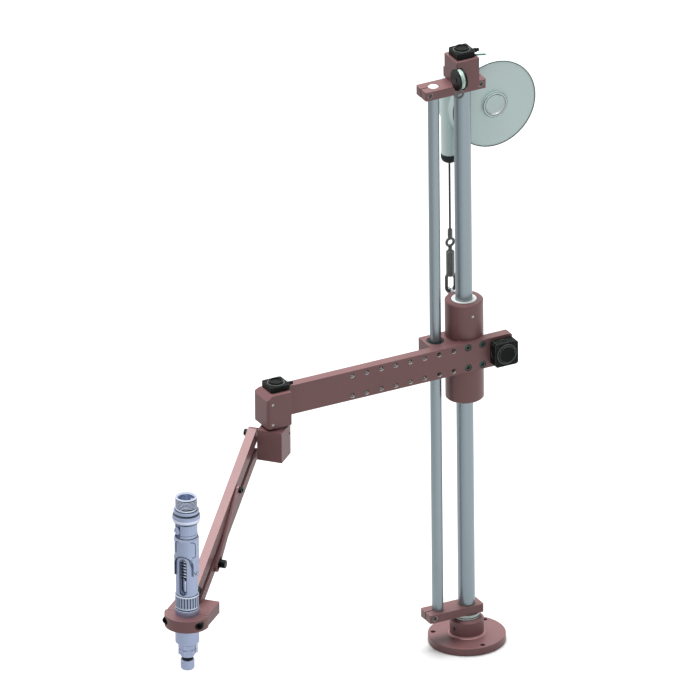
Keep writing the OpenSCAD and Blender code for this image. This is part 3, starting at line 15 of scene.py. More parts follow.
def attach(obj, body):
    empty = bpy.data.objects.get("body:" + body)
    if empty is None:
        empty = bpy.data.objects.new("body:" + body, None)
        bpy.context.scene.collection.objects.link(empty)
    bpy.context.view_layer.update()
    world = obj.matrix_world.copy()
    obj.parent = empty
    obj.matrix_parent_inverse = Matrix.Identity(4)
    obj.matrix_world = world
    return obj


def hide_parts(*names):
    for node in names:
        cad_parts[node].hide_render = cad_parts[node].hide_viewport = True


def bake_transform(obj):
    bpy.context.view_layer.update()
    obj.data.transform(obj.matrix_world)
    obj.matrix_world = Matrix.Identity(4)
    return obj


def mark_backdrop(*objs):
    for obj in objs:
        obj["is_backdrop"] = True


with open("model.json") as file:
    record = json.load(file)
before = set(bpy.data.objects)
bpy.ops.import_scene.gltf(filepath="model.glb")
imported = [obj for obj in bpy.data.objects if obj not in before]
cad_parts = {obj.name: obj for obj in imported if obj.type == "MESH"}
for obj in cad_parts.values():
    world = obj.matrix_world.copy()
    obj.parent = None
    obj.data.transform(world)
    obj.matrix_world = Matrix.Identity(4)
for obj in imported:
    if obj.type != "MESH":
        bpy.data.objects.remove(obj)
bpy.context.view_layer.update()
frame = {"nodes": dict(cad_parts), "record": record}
bodies = frame["record"]["behaviour"]["bodies"]
slots = {part["node"]: part["material_slot"] for part in frame["record"]["subparts"]}
MM = 0.001
# The depth in metres that a finish's relief of 1 stands for
RELIEF_DEPTH = 0.0003
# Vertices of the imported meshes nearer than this, in metres, are one, and faces within this angle
# of each other, in degrees, are one flat face
WELD, FLAT = 2e-6, 0.6


def moved(x, y, z):
    """A move without a turn."""
    return Matrix.Translation((x, y, z))


def rotated(degrees, axis):
    """A turn about an axis through the origin."""
    return Matrix.Rotation(math.radians(degrees), 4, axis)


# The elbow's upright axis, the forearm's level upper pivot along its slope, the tool's axis and
# the balancer's axis, which faces the photo
elbow_x, elbow_y, slope = -392, -36, 30
link_pivot_x, upper_pivot_z, lower_pivot_z, link_length = 30.5, 517, 480, 340
head_pivot_x, head_screw_z, head_upper_z = -38, 310, 347
tool_reach = link_pivot_x + link_length * math.cos(math.radians(slope)) - head_pivot_x
elbow = moved(elbow_x, elbow_y, 0) @ rotated(221.5, "Z")
upper_pivot = elbow @ moved(link_pivot_x, 0, upper_pivot_z) @ rotated(slope, "Y")
tool = elbow @ moved(tool_reach, -32, 0)
hub_axis = moved(73.5, 0, 1016.7) @ rotated(90, "X")

# The front faces of the bar and the plates, the bar's holes and the rope's distance behind
bar_front, bar_middle, hole_pitch, row_pitch = -42.0, 569.0, 28.7, 38.7
plate_front, rope_y = -13, 50
as_built = Matrix()
forward, backward, upward = (0, -1, 0), (0, 1, 0), (0, 0, 1)


# Nodes and colours


def linear(hex_colour):
    """An sRGB hex colour as linear RGBA."""
    channels = [int(hex_colour[i : i + 2], 16) / 255 for i in (0, 2, 4)]
    return [c / 12.92 if c <= 0.04045 else ((c + 0.055) / 1.055) ** 2.4 for c in channels] + [1.0]


def add(tree, kind, inputs=None, **settings):
    """Adds one node. inputs maps a socket's name or number to a value or to the socket that
    feeds it; settings are the node's own properties."""
    node = tree.nodes.new(kind)
    for name, value in settings.items():
        setattr(node, name, value)
    for key, value in (inputs or {}).items():
        if isinstance(value, bpy.types.NodeSocket):
            tree.links.new(value, node.inputs[key])
        else:
            node.inputs[key].default_value = value
    return node


def cleared_tree(owner):
    """The node tree of a material or a world, with no node in it."""
    owner.use_nodes = True
    owner.node_tree.nodes.clear()
    return owner.node_tree


def finish_named(name):
    """A new material with its tree, its surface shader and its pattern coordinates."""
    material = bpy.data.materials.new(name)
    tree = cleared_tree(material)
    shader = add(tree, "ShaderNodeBsdfPrincipled")
    add(tree, "ShaderNodeOutputMaterial", {"Surface": shader.outputs["BSDF"]})
    place = add(tree, "ShaderNodeTexCoord").outputs["Object"]
    return material, tree, shader, place


def grained(
    name, dark, light, grain_mm, cloud_mm, rough, spread, relief, stretch=(1, 1, 1), **fixed
):
    """A finish whose tone drifts between two colours over cloud_mm, and whose gloss and relief
    follow a grain of grain_mm. stretch draws the grain out along an axis, as turning and
    grinding do, and fixed holds the shader's own values."""
    material, tree, shader, place = finish_named(name)
    cloud = add(
        tree,
        "ShaderNodeTexNoise",
        {"Vector": place, "Scale": 1 / MM / cloud_mm, "Detail": 3.0, "Roughness": 0.55},
    )
    tone = add(
        tree,
        "ShaderNodeMix",
        {0: cloud.outputs[0], 6: linear(dark), 7: linear(light)},
        data_type="RGBA",
    )
    tree.links.new(tone.outputs[2], shader.inputs["Base Color"])
    scale = [1 / MM / grain_mm * share for share in stretch]
    drawn = add(tree, "ShaderNodeMapping", {"Vector": place, "Scale": scale})
    grain = add(
        tree, "ShaderNodeTexNoise", {"Vector": drawn.outputs[0], "Scale": 1.0, "Detail": 2.0}
    )
    gloss = add(
        tree,
        "ShaderNodeMapRange",
        {
            "Value": grain.outputs[0],
            "From Min": 0.3,
            "From Max": 0.7,
            "To Min": rough - spread,
            "To Max": rough + spread,
        },
    )
    tree.links.new(gloss.outputs[0], shader.inputs["Roughness"])
    bump = add(
        tree,
        "ShaderNodeBump",
        {"Height": grain.outputs[0], "Strength": relief, "Distance": RELIEF_DEPTH},
    )
    tree.links.new(bump.outputs[0], shader.inputs["Normal"])
    for key, value in fixed.items():
        shader.inputs[key.replace("_", " ").title().replace("Ior", "IOR")].default_value = value
    return material


# The grain of turned and ground parts runs round their upright axis
upright = (0.012, 0.012, 1)
# By slot: name, dark and light colour, grain and cloud in mm, roughness, its spread, relief
finishes = {
    # Bead-blasted aluminium, anodised and dyed mauve: satin, a fine even grain, the dye clouded
    "anodised": grained(
        "dyed_anodised_aluminium", "714f50", "7d5859", 0.7, 60, 0.4, 0.05, 0.08,
        metallic=0.12, specular_ior_level=0.4,
    ),
    # The same, lighter: rubbed edges with thinner dye over bright metal, and a painted highlight on
    # rounds and fillets
    "anodised_edge": grained(
        "rubbed_anodised_edge", "946b6c", "ad8182", 0.7, 9, 0.34, 0.05, 0.05, metallic=0.35,
    ),
    # Hard-chromed shafting, with the grinding wheel's rings
    "ground_steel": grained(
        "hard_chromed_shaft", "87949a", "8e9ba1", 3.5, 500, 0.34, 0.03, 0.0,
        upright, metallic=0.8,
    ),
    # Turned tool steel, satin: a cool blue-grey with turning rings
    "tool_steel": grained(
        "turned_satin_steel", "939fba", "a2adc8", 0.9, 30, 0.34, 0.06, 0.05,
        upright, metallic=0.8,
    ),
    # A lighter copy of the tool steel: worn edges, and painted highlights on the rounds, inlet
    # bore, collar band and knurl ends; also the inlet, port and plunger
    "tool_steel_edge": grained(
        "rubbed_steel_edge", "c6cfe2", "d6def0", 0.9, 12, 0.24, 0.04, 0.03, metallic=0.8,
    ),
    # Ground ball-bearing steel, nearly neutral
    "bearing_steel": grained(
        "ground_bearing_steel", "929a98", "a5aca9", 0.8, 15, 0.25, 0.04, 0.04, metallic=0.85,
    ),
    # Black oxide on alloy steel: nearly black with a soft oily sheen
    "black_oxide": grained(
        "black_oxide_steel", "191c1c", "242828", 0.6, 12, 0.36, 0.06, 0.06, metallic=1.0,
    ),
    # Dark green passivate on the bar's screws
    "green_black_screws": grained(
        "dark_green_passivate", "3c4a45", "4c5a54", 0.6, 6, 0.38, 0.06, 0.06, metallic=1.0,
    ),
    # Glass-filled nylon, moulded against a spark-eroded face
    "sensor_black": grained(
        "glass_filled_nylon", "0e1110", "151817", 0.6, 14, 0.5, 0.06, 0.2, specular_ior_level=0.1,
    ),
    # A lighter copy of the nylon: worn edges, and a painted highlight on the rounds and the lids'
    # rings
    "sensor_black_edge": grained(
        "rubbed_nylon_edge", "4a504e", "626866", 0.6, 6, 0.38, 0.06, 0.1,
    ),
    # Pale powder coat: a slight orange peel a few millimetres across
    "case_white": grained("pale_powder_coat", "d5ebea", "dcf1ee", 2.6, 120, 0.36, 0.04, 0.06),
    # Moulded rubber, matt, with a bloom
    "rubber_black": grained(
        "moulded_rubber", "1c2322", "272e2d", 0.9, 8, 0.6, 0.06, 0.15, specular_ior_level=0.25,
    ),
    # Sintered bronze of the plain bushes, oil-soaked and open-grained
    "bronze": grained(
        "sintered_bronze", "6f5c44", "826d52", 0.5, 6, 0.42, 0.06, 0.15, metallic=0.9,
    ),
    # Acetal wiper seal: milky and smooth
    "seal_white": grained("acetal_seal", "e2e6e5", "eef0ef", 0.6, 12, 0.38, 0.04, 0.03),
    # Bright zinc plate, slightly clouded by the passivate
    "zinc": grained(
        "bright_zinc_plate", "bcc1c6", "d3d8dc", 0.8, 5, 0.28, 0.05, 0.05, metallic=0.85,
    ),
    # Drawn wire of the rope's strands, dark with oil
    "wire_rope": grained(
        "oiled_drawn_wire", "303437", "4b5053", 0.5, 3, 0.36, 0.06, 0.06, metallic=0.8,
    ),
    # Bright hard-drawn spring wire
    "spring_steel": grained(
        "bright_spring_wire", "ccd3e0", "dfe4ee", 0.5, 6, 0.26, 0.04, 0.04, metallic=0.85,
    ),
    # Rubbed black oxide, bare steel showing through on the edges, and a painted highlight on the
    # rounds
    "black_oxide_edge": grained(
        "rubbed_black_oxide", "6f7676", "9aa1a0", 0.6, 5, 0.24, 0.05, 0.04, metallic=0.85,
    ),
    # The facing cut on the guide rod's end and the set screws, and a painted highlight on the bar's
    # hole mouths and the hub cone's lower right
    "faced_end": grained(
        "faced_steel_end", "e6eaea", "f2f5f5", 0.6, 10, 0.3, 0.05, 0.04, metallic=0.3,
    ),
    # Blued steel of the scribed lines, and painted shade on the tool's cut walls, knurled valleys
    # and collar creases: dark and satin
    "blued_steel": grained(
        "blued_knurled_steel", "3a4450", "56616e", 0.6, 8, 0.32, 0.05, 0.05, metallic=0.7,
    ),
    # The oxide of the hook, the ferrule, the pulley's eye and small screws, worn grey with use
    "worn_oxide": grained(
        "worn_grey_oxide", "56585a", "6c6c6b", 0.6, 8, 0.42, 0.06, 0.06, metallic=0.8,
    ),
    # Pale green passivate on the pulley's sheave
    "sheave_plate": grained(
        "pale_green_passivate", "aec6bd", "c6dbd3", 0.8, 8, 0.3, 0.05, 0.04, metallic=0.5,
    ),
    # Bare aluminium in the plates' counterbores
    "reamed": grained(
        "reamed_bare_aluminium", "e4d2d2", "f2e6e5", 0.6, 8, 0.34, 0.05, 0.04, metallic=0.3,
    ),
}


# Shapes


def body_of(node):
    """The body that a CAD node belongs to."""
    return next(body for body, members in bodies.items() if node in members)


def coat(obj, *slot_names):
    """Adds finishes to an object's mesh."""
    for slot_name in slot_names:
        obj.data.materials.append(finishes[slot_name])
    return obj


def dressed(obj, slot_name, body, *nodes):
    """Puts a piece on its body, gives it the finish of a slot where it has none yet, and hides the
    nodes that it stands for."""
    if not obj.data.materials:
        coat(obj, slot_name)
    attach(obj, body)
    if nodes:
        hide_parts(*nodes)
    return obj


def in_scene(name, data):
    """A mesh, a lamp or a camera, as an object at the origin."""
    obj = bpy.data.objects.new(name, data)
    bpy.context.scene.collection.objects.link(obj)
    return obj


def put_in_scene(name, shape):
    """A mesh from a bmesh, as an object at the origin."""
    mesh = bpy.data.meshes.new(name)
    shape.to_mesh(mesh)
    shape.free()
    return in_scene(name, mesh)


def with_applied_modifiers(obj):
    """The object's evaluated mesh in place of its own, with no modifier left."""
    graph = bpy.context.evaluated_depsgraph_get()
    mesh = bpy.data.meshes.new_from_object(obj.evaluated_get(graph))
    obj.modifiers.clear()
    obj.data = mesh
    return obj


def softened(obj, angle=30):
    """Smooth faces with sharp edges kept."""
    obj.data.shade_smooth()
    obj.data.set_sharp_from_angle(angle=math.radians(angle))
    return obj


def in_metres(obj, place=Matrix()):
    """Takes a mesh made in millimetres about the place's own axes to the model's frame."""
    obj.data.transform(Matrix.Scale(MM, 4) @ place)
    return obj


def recoated(obj, slot_name, chosen, place=Matrix()):
    """Gives another finish to the faces that are chosen by their centre, in millimetres, and
    their normal, both in the axes of a place."""
    coat(obj, slot_name)
    index = len(obj.data.materials) - 1
    back = place.inverted()
    for face in obj.data.polygons:
        if chosen(back @ (face.center / MM), back.to_3x3() @ face.normal):
            face.material_index = index
    return obj


def edges_broken(node, width, segments=2, angle=28):
    """A copy of a CAD node with its sharp edges rounded, as a machinist breaks them, and the
    rounds in the lighter edge finish, worn and a painted highlight, where there is one."""
    source = frame["nodes"][node]
    shape = bmesh.new()
    shape.from_mesh(source.data)
    bmesh.ops.remove_doubles(shape, verts=shape.verts, dist=WELD)
    bmesh.ops.dissolve_limit(
        shape,
        angle_limit=math.radians(FLAT),
        verts=shape.verts,
        edges=shape.edges,
        use_dissolve_boundaries=False,
    )
    for face in shape.faces:
        face.material_index = 0
    obj = put_in_scene(node + "_broken_edges", shape)
    obj.data.materials.clear()
    coat(obj, slots[node])
    bevel = obj.modifiers.new("broken_edges", "BEVEL")
    bevel.width = width * MM
    bevel.segments = segments
    bevel.limit_method = "ANGLE"
    bevel.angle_limit = math.radians(angle)
    bevel.miter_outer = "MITER_ARC"
    # The rounds take the slot's lighter edge finish: wear and a painted highlight
    if slots[node] + "_edge" in finishes:
        coat(obj, slots[node] + "_edge")
        bevel.material = 1
    with_applied_modifiers(obj)
    softened(obj, angle)
    # Wide flat faces keep one normal, so that they don't shade toward their rounds
    obj.modifiers.new("level_faces", "WEIGHTED_NORMAL").keep_sharp = True
    with_applied_modifiers(obj)
    return dressed(obj, slots[node], body_of(node), node)


def ring_radius(kind, radius, share, flutes, depth):
    """The radius at a share of the turn: round, fluted as a knurl, or six-sided."""
    if kind == "fluted":
        return radius - depth * (0.5 - 0.5 * math.cos(2 * math.pi * flutes * share))
    if kind == "hex":
        return radius / math.cos(math.radians((share * 360) % 60 - 30))
    return radius


def turned(name, profile, steps=72, flutes=24, depth=0.3):
    """A solid of revolution about Z from (radius, height, kind) points that run from one end to
    the other, or round a ring's section. A fluted or six-sided point changes its ring's outline."""
    shape = bmesh.new()
    rings = []
    for radius, height, *kind in profile:
        if radius == 0:
            rings.append([shape.verts.new((0, 0, height))])
            continue
        ring = []
        for i in range(steps):
            r = ring_radius(kind[0] if kind else "round", radius, i / steps, flutes, depth)
            turn = 2 * math.pi * i / steps
            ring.append(shape.verts.new((r * math.cos(turn), r * math.sin(turn), height)))
        rings.append(ring)
    closed = len(rings[0]) > 1 and len(rings[-1]) > 1
    for low, high in zip(rings, rings[1:] + rings[:1]):
        if high is rings[0] and not closed:
            continue
        for i in range(steps):
            j = (i + 1) % steps
            sides = ((low, i), (low, j), (high, j), (high, i))
            corners = [side[k % len(side)] for side, k in sides]
            # A ring of one point meets its neighbour in triangles
            shape.faces.new(list(dict.fromkeys(corners)))
    bmesh.ops.recalc_face_normals(shape, faces=shape.faces)
    return softened(put_in_scene(name, shape))


def flat_ring(name, inner, outer, width, steps=96):
    """A ring of rectangular section that stands on Z = 0."""
    return turned(name, [(inner, 0), (outer, 0), (outer, width), (inner, width)], steps=steps)


def arc(centre, reach, degrees):
    """Points of an ellipse in a profile, at angles from the outward direction."""
    turns = [math.radians(angle) for angle in degrees]
    return [
        (centre[0] + reach[0] * math.cos(turn), centre[1] + reach[1] * math.sin(turn))
        for turn in turns
    ]


def tree_named(name, sockets):
    """A Geometry Nodes tree with its named inputs and its one mesh output."""
    tree = bpy.data.node_groups.new(name, "GeometryNodeTree")
    for label, kind in sockets.items():
        tree.interface.new_socket(label, in_out="INPUT", socket_type="NodeSocket" + kind)
    tree.interface.new_socket("Mesh", in_out="OUTPUT", socket_type="NodeSocketGeometry")
    return tree, add(tree, "NodeGroupInput").outputs


def with_output(tree, laid, finish):
    """Ends a tree: the laid instances as one plain mesh in a finish."""
    solid = add(tree, "GeometryNodeRealizeInstances", {"Geometry": laid.outputs[0]})
    coated = add(
        tree, "GeometryNodeSetMaterial", {"Geometry": solid.outputs[0], "Material": finish}
    )
    add(tree, "NodeGroupOutput", {"Mesh": coated.outputs[0]})
    return tree


def wound_strands():
    """Round wires laid as helices about Z: a rope's strands, a spring's coils, a screw thread."""
    tree, asked = tree_named(
        "wound_strands",
        {
            "Geometry": "Geometry",
            "Strands": "Int",
            "Turns": "Float",
            "Lay Radius": "Float",
            "Height": "Float",
            "Wire Radius": "Float",
            "Steps": "Int",
            "Sides": "Int",
            "Finish": "Material",
        },
    )
    lay = add(
        tree,
        "GeometryNodeCurveSpiral",
        {
            "Resolution": asked["Steps"],
            "Rotations": asked["Turns"],
            "Start Radius": asked["Lay Radius"],
            "End Radius": asked["Lay Radius"],
            "Height": asked["Height"],
        },
    )
    level = add(tree, "GeometryNodeSetCurveNormal", {"Curve": lay.outputs[0]}, mode="Z_UP")
    section = add(
        tree,
        "GeometryNodeCurvePrimitiveCircle",
        {"Resolution": asked["Sides"], "Radius": asked["Wire Radius"]},
    )
    wire = add(
        tree,
        "GeometryNodeCurveToMesh",
        {"Curve": level.outputs[0], "Profile Curve": section.outputs[0], "Fill Caps": True},
    )
    starts = add(tree, "GeometryNodePoints", {"Count": asked["Strands"]})
    index = add(tree, "GeometryNodeInputIndex")
    share = add(
        tree, "ShaderNodeMath", {0: index.outputs[0], 1: asked["Strands"]}, operation="DIVIDE"
    )
    turn = add(
        tree, "ShaderNodeMath", {0: share.outputs[0], 1: 2 * math.pi}, operation="MULTIPLY"
    )
    facing = add(tree, "ShaderNodeCombineXYZ", {"Z": turn.outputs[0]})
    laid = add(
        tree,
        "GeometryNodeInstanceOnPoints",
        {"Points": starts.outputs[0], "Instance": wire.outputs[0], "Rotation": facing.outputs[0]},
    )
    return with_output(tree, laid, asked["Finish"])


def set_on_points():
    """One piece set on every point, its Z along the point's aim."""
    tree, asked = tree_named(
        "set_on_points", {"Points": "Geometry", "Piece": "Object", "Finish": "Material"}
    )
    aim = add(tree, "GeometryNodeInputNamedAttribute", {"Name": "aim"}, data_type="FLOAT_VECTOR")
    facing = add(tree, "FunctionNodeAlignRotationToVector", {"Vector": aim.outputs[0]}, axis="Z")
    piece = add(tree, "GeometryNodeObjectInfo", {"Object": asked["Piece"]})
    laid = add(
        tree,
        "GeometryNodeInstanceOnPoints",
        {
            "Points": asked["Points"],
            "Instance": piece.outputs["Geometry"],
            "Rotation": facing.outputs[0],
        },
    )
    return with_output(tree, laid, asked["Finish"])


def grown(obj, tree, **values):
    """The plain mesh that a tree makes from an object and named values."""
    modifier = obj.modifiers.new(tree.name, "NODES")
    modifier.node_group = tree
    for socket in tree.interface.items_tree:
        key = socket.name.replace(" ", "_").lower()
        if socket.in_out == "INPUT" and key in values:
            modifier[socket.identifier] = values[key]
    return with_applied_modifiers(obj)


strand_tree = wound_strands()
point_tree = set_on_points()


def wound(name, slot_name, place, **values):
    """A rope, spring or thread in the model's frame, from millimetres."""
    empty = put_in_scene(name, bmesh.new())
    obj = grown(empty, strand_tree, finish=finishes[slot_name], **values)
    obj.data.shade_smooth()
    return in_metres(obj, place)


def set_pieces(name, piece, slot_name, places):
    """A piece made about its own Z, set at each (frame, point, aim) of a list in millimetres."""
    mesh = bpy.data.meshes.new(name)
    points = [place @ Vector(point) for place, point, aim in places]
    mesh.from_pydata(points, [], [])
    aims = mesh.attributes.new("aim", "FLOAT_VECTOR", "POINT")
    for i, (place, point, aim) in enumerate(places):
        aims.data[i].vector = place.to_3x3() @ Vector(aim)
    obj = in_scene(name, mesh)
    grown(obj, point_tree, piece=piece, finish=finishes[slot_name])
    bpy.data.objects.remove(piece)
    return softened(in_metres(obj))


def socket_screw(head_r, head_h, shank_r, length):
    """A cap screw whose head stands on Z = 0: knurled rim, broken edge and a hex socket whose
    flats are half as far apart as the head is wide."""
    socket = head_r * 0.52
    return turned(
        "socket_screw",
        [
            (0, -length),
            (shank_r, -length),
            (shank_r, 0),
            (head_r - 0.3, 0),
            (head_r, 0.4, "fluted"),
            (head_r, head_h * 0.82, "fluted"),
            (head_r - 0.5, head_h * 0.86),
            (head_r * 0.86, head_h),
            (socket + 0.35, head_h, "hex"),
            (socket, head_h - 0.3, "hex"),
            (socket, head_h * 0.45, "hex"),
            (0, head_h * 0.4),
        ],
        steps=96,
        depth=0.28,
    )


def joined(name, pieces):
    """Several finished meshes as one object that keeps their finishes."""
    shape = bmesh.new()
    kept = []
    for piece in pieces:
        first = len(shape.faces)
        shape.from_mesh(piece.data)
        shape.faces.ensure_lookup_table()
        for face in shape.faces[first:]:
            finish = piece.data.materials[face.material_index]
            if finish not in kept:
                kept.append(finish)
            face.material_index = kept.index(finish)
    obj = put_in_scene(name, shape)
    for finish in kept:
        obj.data.materials.append(finish)
    for piece in pieces:
        bpy.data.objects.remove(piece)
    return softened(obj)


# The machined and moulded parts, with their edges broken

broken = {
    "base_flange": 0.8,
    "lower_plate": 0.7,
    "upper_plate": 0.7,
    "guide_rod": 0.4,
    "top_block": 0.7,
    "balancer_bracket": 0.5,
    "carriage_sleeve": 0.6,
    "arm_bar": 0.6,
    "guide_block": 0.6,
    "elbow_head": 0.7,
    "forearm_yoke": 0.7,
    "upper_link": 0.6,
    "lower_link": 0.6,
    "stay": 0.5,
    "clamp_rear": 0.7,
    "clamp_front": 0.7,
    "swing_sensor": 0.5,
    "elbow_sensor": 0.5,
    "travel_sensor": 0.6,
    "balancer_housing": 1.6,
    "balancer_cover": 0.6,
    "tool_body": 0.3,
    "tool_shell": 0.4,
    "tool_nose": 0.4,
    "tool_chuck": 0.3,
    "pulley_bracket": 0.5,
}
shaped = {name: edges_broken(name, width) for name, width in broken.items()}

# The pulley's eye hangs below its black cheeks, worn grey
recoated(shaped["pulley_bracket"], "worn_oxide", lambda at, facing: at.z < 1098.0)
# The rod's end is faced bright, and the chuck's groove is painted black as shade
recoated(shaped["guide_rod"], "faced_end", lambda at, facing: at.z > 1089.2)
recoated(
    shaped["tool_chuck"],
    "black_oxide",
    lambda at, facing: 231.5 < at.z < 237.4 and at.xy.length < 11.4,
    tool,
)


def cut_wall(at, facing, inner, outer):
    """Whether a face of a turned part, between two radii, is the wall of a cut through it."""
    return inner < at.xy.length < outer and abs(facing.dot(at.xy.to_3d().normalized())) < 0.6


# The walls of the cuts in the tool's shell and its window get painted shade, and the inlet's bore a
# painted highlight
recoated(
    shaped["tool_shell"],
    "blued_steel",
    lambda at, facing: at.x > 0 and at.z < 460 and cut_wall(at, facing, 19.7, 21.9),
    tool,
)
recoated(
    shaped["tool_body"],
    "blued_steel",
    lambda at, facing: 350 < at.z < 440 and cut_wall(at, facing, 17.0, 19.45),
    tool,
)
recoated(
    shaped["tool_body"],
    "tool_steel_edge",
    lambda at, facing: at.z > 500.5 and at.xy.length < 14.7,
    tool,
)
# The fillet round the base's hub gets a painted highlight in the lighter edge finish
recoated(
    shaped["base_flange"],
    "anodised_edge",
    lambda at, facing: 0.2 < facing.z < 0.95 and 29.5 < at.xy.length < 38 and at.z < 26,
)


def on_hub_cone(at, facing):
    """Whether a face is on the cone round the balancer's axle, in the axes of hub_axis."""
    return 17.1 < at.xy.length < 19.8 and at.z > -20 and abs(facing.z) < 0.9


# The cone is turned bright, and a painted highlight makes the crescent at its lower right the
# brightest
recoated(shaped["balancer_cover"], "zinc", on_hub_cone, hub_axis)
recoated(
    shaped["balancer_cover"],
    "faced_end",
    lambda at, facing: on_hub_cone(at, facing) and at.x > 0.6 * at.y + 4,
    hub_axis,
)

# The sensors' cables leave through black glands
for name, front in (("swing_sensor_fittings", 0), ("elbow_sensor_fittings", elbow_y)):
    gland = edges_broken(name, 0.2)
    recoated(gland, "sensor_black", lambda at, facing, front=front: at.y < front)

# Nodes that are worn or plated unlike the rest of their slot
own_finish = {
    "snap_hook": "worn_oxide",
    "hook_gate": "worn_oxide",
    "cable_ferrule": "worn_oxide",
    "pulley_sheave": "sheave_plate",
    "set_screws": "faced_end",
}
for name, obj in frame["nodes"].items():
    if not obj.hide_render:
        obj.data.materials.clear()
        coat(obj, own_finish.get(name, slots[name]))


# Screws

plate_screws = ((-71.5, 63.75), (-71.5, 1081.5), (28.5, 1081.5))
dressed(
    set_pieces(
        "plate_clamp_socket_screws",
        socket_screw(4.5, 3.2, 3, 28),
        "worn_oxide",
        [(as_built, (x, plate_front, z), forward) for x, z in plate_screws],
    ),
    "black_oxide",
    "swing_frame",
    "plate_clamp_screws",
)
dressed(
    set_pieces(
        "bar_socket_screws",
        socket_screw(6.4, 6, 4, 16),
        "green_black_screws",
        [
            (as_built, (x * hole_pitch / 2, bar_front + 7, bar_middle + z * row_pitch / 2), forward)
            for x in (-1, 1)
            for z in (-1, 1)
        ],
    ),
    "green_black_screws",
    "carriage",
    "bar_screws",
)
dressed(
    set_pieces(
        "yoke_shoulder_screws",
        socket_screw(6.5, 8, 5, 19),
        "black_oxide",
        [(elbow, (link_pivot_x, -40.1, z), forward) for z in (upper_pivot_z, lower_pivot_z)],
    ),
    "black_oxide",
    "forearm",
    "yoke_pivot_screws",
)
dressed(
    joined(
        "clamp_socket_screws",
        [
            set_pieces(
                "ring_screws",
                socket_screw(6.5, 8, 4, 44),
                "black_oxide",
                [(tool, (15.1, side * 32, head_screw_z), (1, 0, 0)) for side in (-1, 1)],
            ),
            set_pieces(
                "lower_pivot_screw",
                socket_screw(6.5, 7, 5, 47.6),
                "black_oxide",
                [(tool, (head_pivot_x, -30.1, head_screw_z), forward)],
            ),
            set_pieces(
                "upper_pivot_screw",
                socket_screw(6.5, 8, 5, 29.6),
                "black_oxide",
                [(tool, (head_pivot_x, -19.7, head_upper_z), forward)],
            ),
            set_pieces(
                "upper_pivot_nut",
                turned(
                    "nut",
                    [(5.05, 0), (6.2, 0, "hex"), (6.5, 0.4, "hex"), (6.5, 2.5, "hex")]
                    + [(6.0, 2.9, "hex"), (5.05, 2.9)],
                ),
                "black_oxide",
                [(tool, (head_pivot_x, 8.1, head_upper_z), backward)],
            ),
        ],
    ),
    "black_oxide",
    "tool_head",
    "clamp_screws",
)
stay_screw_x = 120
dressed(
    joined(
        "stay_socket_screw",
        [
            set_pieces(
                "stay_cap_screw",
                socket_screw(6, 5.4, 3, 21.6),
                "black_oxide",
                [(upper_pivot, (stay_screw_x, -18.4, 0), backward)],
            ),
            set_pieces(
                "stay_spacer",
                flat_ring("spacer", 3.05, 5.1, 0.4, steps=72),
                "bearing_steel",
                [(upper_pivot, (stay_screw_x, -24, 0), backward)],
            ),
        ],
    ),
    "black_oxide",
    "upper_arm_link",
    "stay_screw",
)


def grub_screw(radius, length):
    """A socket set screw whose open end is on Z = 0."""
    return turned(
        "grub_screw",
        [
            (0, -length),
            (radius - 0.4, -length),
            (radius, -length + 0.4),
            (radius, -0.4),
            (radius - 0.4, 0),
            (radius * 0.55, 0, "hex"),
            (radius * 0.5, -0.3, "hex"),
            (radius * 0.5, -radius, "hex"),
            (0, -radius * 1.1),
        ],
        steps=48,
    )


hub_radius, grub_z = 29, 30.25
dressed(
    set_pieces(
        "hub_socket_grubs",
        grub_screw(4, 13.9),
        "worn_oxide",
        [(rotated(angle, "Z"), (hub_radius, 0, grub_z), (1, 0, 0)) for angle in (75, 195)],
    ),
    "black_oxide",
    "base",
    "hub_grub_screws",
)
dressed(
    set_pieces(
        "bright_set_screws",
        grub_screw(2.5, 5.5),
        "faced_end",
        # One in the carriage's sleeve, and two in the elbow's head at the height of the bar's holes
        [(as_built, (0, -33.5, 641.6), forward)]
        + [(as_built, (-413, -64.5, z), forward) for z in (541, 541 + row_pitch)],
    ),
    "zinc",
    "carriage",
    "set_screws",
)


# The plates' counterbores are cut bright. The bar's hole mouths get a painted highlight, kept
# only on their faces that point up

dressed(
    set_pieces(
        "counterbore_walls",
        turned("counterbore", [(5.05, 0), (5.05, 5.3), (4.6, 5.3), (4.6, 0)], steps=32),
        "reamed",
        [(as_built, (x, plate_front, z), forward) for x, z in plate_screws],
    ),
    "anodised",
    "swing_frame",
)
hole_floor = bar_front + 17.4
hole_places = [
    (as_built, (-hole_pitch * (1.5 + i), hole_floor, bar_middle + side * row_pitch / 2), forward)
    for i in range(8)
    for side in (-1, 1)
]
hole_walls = joined(
    "bar_hole_walls",
    [
        set_pieces(
            "hole_mouths",
            turned(
                "mouth",
                [(4.5, 8.6), (4.5, 17.1), (5.2, 17.45), (4.6, 17.5), (4.1, 16.9), (4.1, 8.6)],
                steps=32,
            ),
            "faced_end",
            hole_places,
        ),
        set_pieces(
            "hole_depths",
            turned("depth", [(4.5, 0), (4.5, 8.5), (4.1, 8.5), (4.1, 0)], steps=32),
            "anodised",
            hole_places,
        ),
    ],
)
# Faces that don't point up lose the painted highlight
recoated(hole_walls, "anodised", lambda at, facing: facing.z < 0.25)
dressed(hole_walls, "anodised", "carriage")


# Sensors: a ring and four corner screws on each lid, and two terminal pins at the top block

